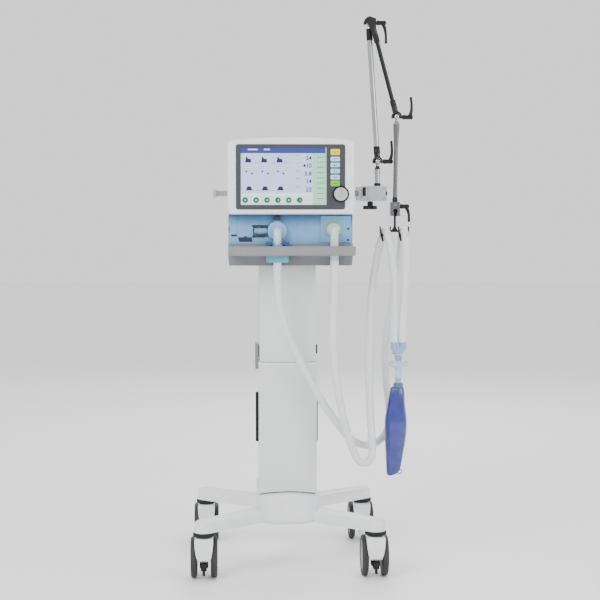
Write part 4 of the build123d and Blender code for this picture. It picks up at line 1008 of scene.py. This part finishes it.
def make_ports(finishes):
    """Both elbows, and the seal and socket of the inspiratory port."""
    make_elbow("expiratory_elbow_moulding", VALVE_X, VALVE_Z, -172, "expiratory_elbow", finishes)
    make_elbow("inspiratory_elbow_moulding", INLET_X, INLET_Z, -159, "inspiratory_elbow", finishes)
    port = at(INLET_X, PANEL_FRONT, INLET_Z)
    turned("inspiratory_seal", port, (0, -1, 0), [
        (0, 20.6), (0.8, 21.5), (6.5, 21.5), (8, 20.8), (8.8, 19), (8.8, 15.5),
    ], finishes["seal"], "root", 64, slot="elbow_pale")
    turned("inspiratory_socket", port, (0, -1, 0), [(8.5, 17), (12, 16), (14, 14.4), (14.6, 13)],
           finishes["elbow"], "root", 48, slot="elbow_pale")


# ------------------------------------------------------------------ casing details
CASE_SIDE = 182.0
LOUVRE_BOTTOM = 1212
LOUVRE_PITCH = 9.5
LOUVRE_ROWS = 9


def make_case_details(finishes):
    """Louvres on the case's sides with painted shade in the gaps between them, the case's screws, and the
    rails' end caps.
    """
    for side, label in ((-1, "left"), (1, "right")):
        louvres = bmesh.new()
        gaps = bmesh.new()
        x = side * CASE_SIDE
        for row in range(LOUVRE_ROWS):
            z = LOUVRE_BOTTOM + LOUVRE_PITCH * row
            inner, outer = sorted((x, x + side * 2.2))
            add_block(louvres, at(inner, -70, z), at(outer, 130, z + 4.2), 0.0012)
            # The gaps are thin dark plates under each louvre: painted shade in the openings between them.
            inner, outer = sorted((x, x + side * 0.3))
            add_block(gaps, at(inner, -68, z - 3.2), at(outer, 128, z - 0.2))
        piece_from("louvres_" + label, louvres, finishes["casing"], "root", slot="casing_white")
        piece_from("louvre_gaps_" + label, gaps, finishes["rubber"], "root", slot="casing_white")
        for index, (y, z) in enumerate(((-112, 1030), (-112, 1305), (150, 1030), (150, 1305))):
            cap_screw("case_screw_%s_%d" % (label, index + 1), at(x, y, z), (side, 0, 0), 3.4,
                      finishes["steel"], "root")
        low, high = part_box("side_rails")
        shape = bmesh.new()
        outer = high.x if side > 0 else low.x
        inner = outer - side * 0.010
        for y, depth in ((low.y, -0.002), (high.y, 0.002)):
            first, second = sorted((y, y + depth))
            add_block(shape, (min(inner, outer) - 0.0004, first, low.z - 0.0004),
                      (max(inner, outer) + 0.0004, second, high.z + 0.0004), 0.0007)
        piece_from("rail_caps_" + label, shape, finishes["clamp"], "root", slot="rail_steel")


def make_back_details(finishes):
    """Back of the unit: fan grille, mains socket and switch, oxygen thread, data sockets, screws, vents."""
    back = 169.0
    raised = 0.0032
    centre = at(8, back, 1096)
    shape = bmesh.new()
    for radius in (9, 16, 23, 30, 37):
        loop = []
        for step in range(49):
            angle = 2 * math.pi * step / 48
            across, up = math.cos(angle) * radius * MM, math.sin(angle) * radius * MM
            loop.append(centre + Vector((across, raised, up)))
        add_tube(shape, loop, [0.0009] * len(loop), 8)
    for step in range(4):
        angle = math.pi / 4 + math.pi / 2 * step
        spoke = Vector((math.cos(angle), 0, math.sin(angle)))
        lift = Vector((0, raised, 0))
        ends = [centre + lift + spoke * 0.004, centre + lift + spoke * 0.024, centre + spoke * 0.041]
        add_tube(shape, ends, [0.0011] * 3, 8)
    piece_from("fan_grille", shape, finishes["steel"], "root", slot="back_plate")
    # Black disc behind the grille: painted shade inside the fan opening.
    turned("fan_opening", centre, (0, 1, 0), [(0, 39), (0.6, 39), (0.6, 38), (0.3, 37.5), (0.3, 1)],
           finishes["rubber"], "root", 64, slot="back_plate")
    shape = bmesh.new()
    for x in (-112, -105, -98):
        add_block(shape, at(x - 1, 160, 1071), at(x + 1, 172, 1077), 0.0004)
    piece_from("mains_pins", shape, finishes["steel"], "root", slot="back_plate")
    shape = bmesh.new()
    add_block(shape, at(-130.6, 173, 1089), at(-79.4, 180, 1100), 0.0012)
    add_block(shape, at(-131, 173, 1103), at(-109, 183, 1114), 0.0015)
    piece_from("mains_switch_and_fuses", shape, finishes["black"], "root", slot="back_plate")
    shape = bmesh.new()
    for step in range(7):
        crest = [(0, 6.6), (0.5, 7.12), (0.9, 7.12), (1.4, 6.6)]
        add_lathe(shape, at(110, 173.5 + 1.8 * step, 1075), (0, 1, 0), crest, 36)
    piece_from("oxygen_thread", shape, finishes["chrome"], "root", slot="back_plate")
    # Dark disc at the thread's end: painted shade inside the inlet's bore.
    turned("oxygen_inlet_hole", at(110, 186.4, 1075), (0, 1, 0), [(0, 4.2), (0.65, 4.2), (0.66, 4.0)],
           finishes["rubber"], "root", 32, slot="back_plate")
    for index, x in enumerate((78, 118)):
        shape = bmesh.new()
        add_plate(shape, round_outline((x - 15, x + 15), (1118, 1130), 4), (back - 0.5, back + 4.5))
        piece_from("data_socket_%d" % (index + 1), shape, finishes["steel"], "root", slot="back_plate")
        shape = bmesh.new()
        add_plate(shape, round_outline((x - 9, x + 9), (1120.5, 1127.5), 2.5), (back + 4.3, back + 4.9))
        piece_from("data_socket_insert_%d" % (index + 1), shape, finishes["black"], "root", slot="back_plate")
    screws = ((-149, 1041), (149, 1041), (-149, 1149), (149, 1149), (0, 1149), (0, 1041))
    for index, (x, z) in enumerate(screws):
        cap_screw("back_screw_%d" % (index + 1), at(x, back, z), (0, 1, 0), 3.2, finishes["steel"], "root")
    # Dark plates on the back: painted shade inside the vent slots.
    shape = bmesh.new()
    for row in range(8):
        for column in range(14):
            x = -135 + 20.5 * column
            z = 1190 + 13.5 * row
            add_plate(shape, round_outline((x - 7, x + 7), (z - 2, z + 2), 1.9, 3), (165, 165.5))
    piece_from("back_vents", shape, finishes["rubber"], "root", slot="casing_white")


def make_column_details(finishes):
    """Pale band at the column's seam, screws of the rear cover and the plate's inserts."""
    low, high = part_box("column_lower_cover")
    front = low.y - AXIS.y
    shoulder = -0.092 - 0.003
    sag = shoulder - front
    chord = (high.x - low.x) / 2
    half_width = chord / MM - 3
    radius = (chord ** 2 + sag ** 2) / (2 * sag)
    spread = math.asin(chord / radius)
    inner, outer = [], []
    for step in range(41):
        angle = spread * (2 * step / 40 - 1)
        for reach, ring in ((radius + 0.0006, outer), (radius - 0.0015, inner)):
            ring.append(Vector((AXIS.x + reach * math.sin(angle),
                                AXIS.y + front + radius - reach * math.cos(angle), 0)))
    outline = outer + inner[::-1]
    shape = bmesh.new()
    heights = (636.5, 637.2, 643.4, 644)
    add_rings(shape, [[point + Vector((0, 0, z * MM)) for point in outline] for z in heights])
    piece_from("column_seam_band", shape, finishes["casing"], "root", slot="column_white")
    for index, (x, z) in enumerate(((-55, 300), (55, 300), (-55, 600), (55, 600), (-55, 900), (55, 900))):
        depth = 0.125 - 0.026 * (x / half_width) ** 2
        cap_screw("column_screw_%d" % (index + 1), Vector((AXIS.x + x * MM, AXIS.y + depth - 0.0002, z * MM)),
                  (0, 1, 0), 3.4, finishes["steel"], "root")
    plate_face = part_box("accessory_plate")[0].x
    for index, (y, z) in enumerate(((-25, 630.5), (25, 630.5), (-25, 680.5), (25, 680.5))):
        shape = bmesh.new()
        base = Vector((plate_face, AXIS.y + y * MM, z * MM))
        add_lathe(shape, base, (-1, 0, 0), [(0, 2.6), (0.2, 4.3), (0.5, 4.2), (0.5, 2.6)], 28)
        piece_from("plate_insert_%d" % (index + 1), shape, finishes["steel"], "root", slot="plate_grey")


# ------------------------------------------------------------------ finishes of the CAD nodes
def paint_cad_nodes(finishes):
    """A finish for every CAD node, also for those that a piece stands in for."""
    plain = {
        "casting": ["base_casting"], "rubber": ["caster_bumper_rings", "column_side_strips", "battery_pack"],
        "castor": ["caster_hood_" + corner for corner in CORNERS],
        "tread": ["caster_wheels_" + corner for corner in CORNERS],
        "black": ["brake_lever_front_left", "brake_lever_front_right", "clamp_knob", "hose_holder",
                  "clamp_lever_post", "clamp_lever_top", "clamp_lever_elbow", "clamp_lever_end"],
        "core": ["column_core"], "column": ["column_upper_cover", "column_lower_cover", "column_rear_cover"],
        "grey_paint": ["accessory_plate"], "tray": ["tray"], "handle": ["front_handle"],
        "casing": ["display_housing", "rear_housing"], "bezel": ["display_frame"],
        "screen_back": ["touch_screen"],
        "key_yellow": ["key_silence"], "key_blue": ["key_reset", "key_freeze", "key_print", "key_suction"],
        "key_green": ["key_standby"], "knob": ["rotary_knob"], "panel": ["front_panel"],
        "cover_blue": ["sensor_cover"],
        "port": ["expiratory_valve"], "clear_blue": ["flow_sensor"],
        "elbow": ["expiratory_elbow", "inspiratory_elbow"], "holder_aqua": ["elbow_holder"],
        "steel": ["side_rails"], "board": ["main_board"], "inner_grey": ["blower_housing", "blower_impeller"],
        "back_plate": ["connector_panel"], "clamp": ["rail_clamp"],
        "hose": list(HOSE_ROUTES), "connector": ["y_piece", "breathing_filter"], "bag": ["test_lung"],
    }
    for name, nodes in plain.items():
        for node in nodes:
            paint(node, finishes[name])
    black, chrome, gunmetal = (0.004, 0.004, 0.005), (0.42, 0.43, 0.45), (0.02, 0.021, 0.023)
    silver = (0.16, 0.165, 0.175)
    lower, top, elbow, holder, start = arm_points()
    below = lower - Vector((0, 0, 0.12))
    paint("arm_post", banded_finish("post", below, lower, [
        (0, chrome, 1), (0.8, black, 0), (0.885, chrome, 1)], 0.14))
    paint("arm_tube_1", banded_finish("tube_1", lower - (top - lower) * 0.1, top,
                                      [(0, black, 0), (0.19, chrome, 1)], 0.13))
    length = (elbow - start).length
    paint("arm_tube_2", banded_finish("tube_2", start, elbow, [
        (0, black, 0), (0.05 / length, gunmetal, 0.7), (1 - 0.05 / length, black, 0)], 0.26))
    tube_length = (holder - elbow).length
    paint("arm_tube_3", banded_finish("tube_3", elbow, holder, [
        (0, chrome, 1), (0.023 / tube_length, silver, 0.9)], 0.24))


def paint(node, made_finish):
    mesh = frame["nodes"][node].data
    mesh.materials.clear()
    mesh.materials.append(made_finish)


# ------------------------------------------------------------------ the whole
make_camera()
FINISHES = make_finishes()
for hose_name in HOSE_ROUTES:
    make_hose(hose_name, FINISHES)
make_studio()
paint_cad_nodes(FINISHES)
make_y_piece(FINISHES)
make_filter(FINISHES)
make_test_lung(FINISHES)
make_wheels(FINISHES)
make_levers(FINISHES)
make_arm_details(FINISHES)
make_clamp_details(FINISHES)
make_screen(FINISHES)
make_key_marks(FINISHES)
make_knob(FINISHES)
make_panel_details(FINISHES)
make_holder_details(FINISHES)
make_valve_details(FINISHES)
make_ports(FINISHES)
make_case_details(FINISHES)
make_back_details(FINISHES)
make_column_details(FINISHES)
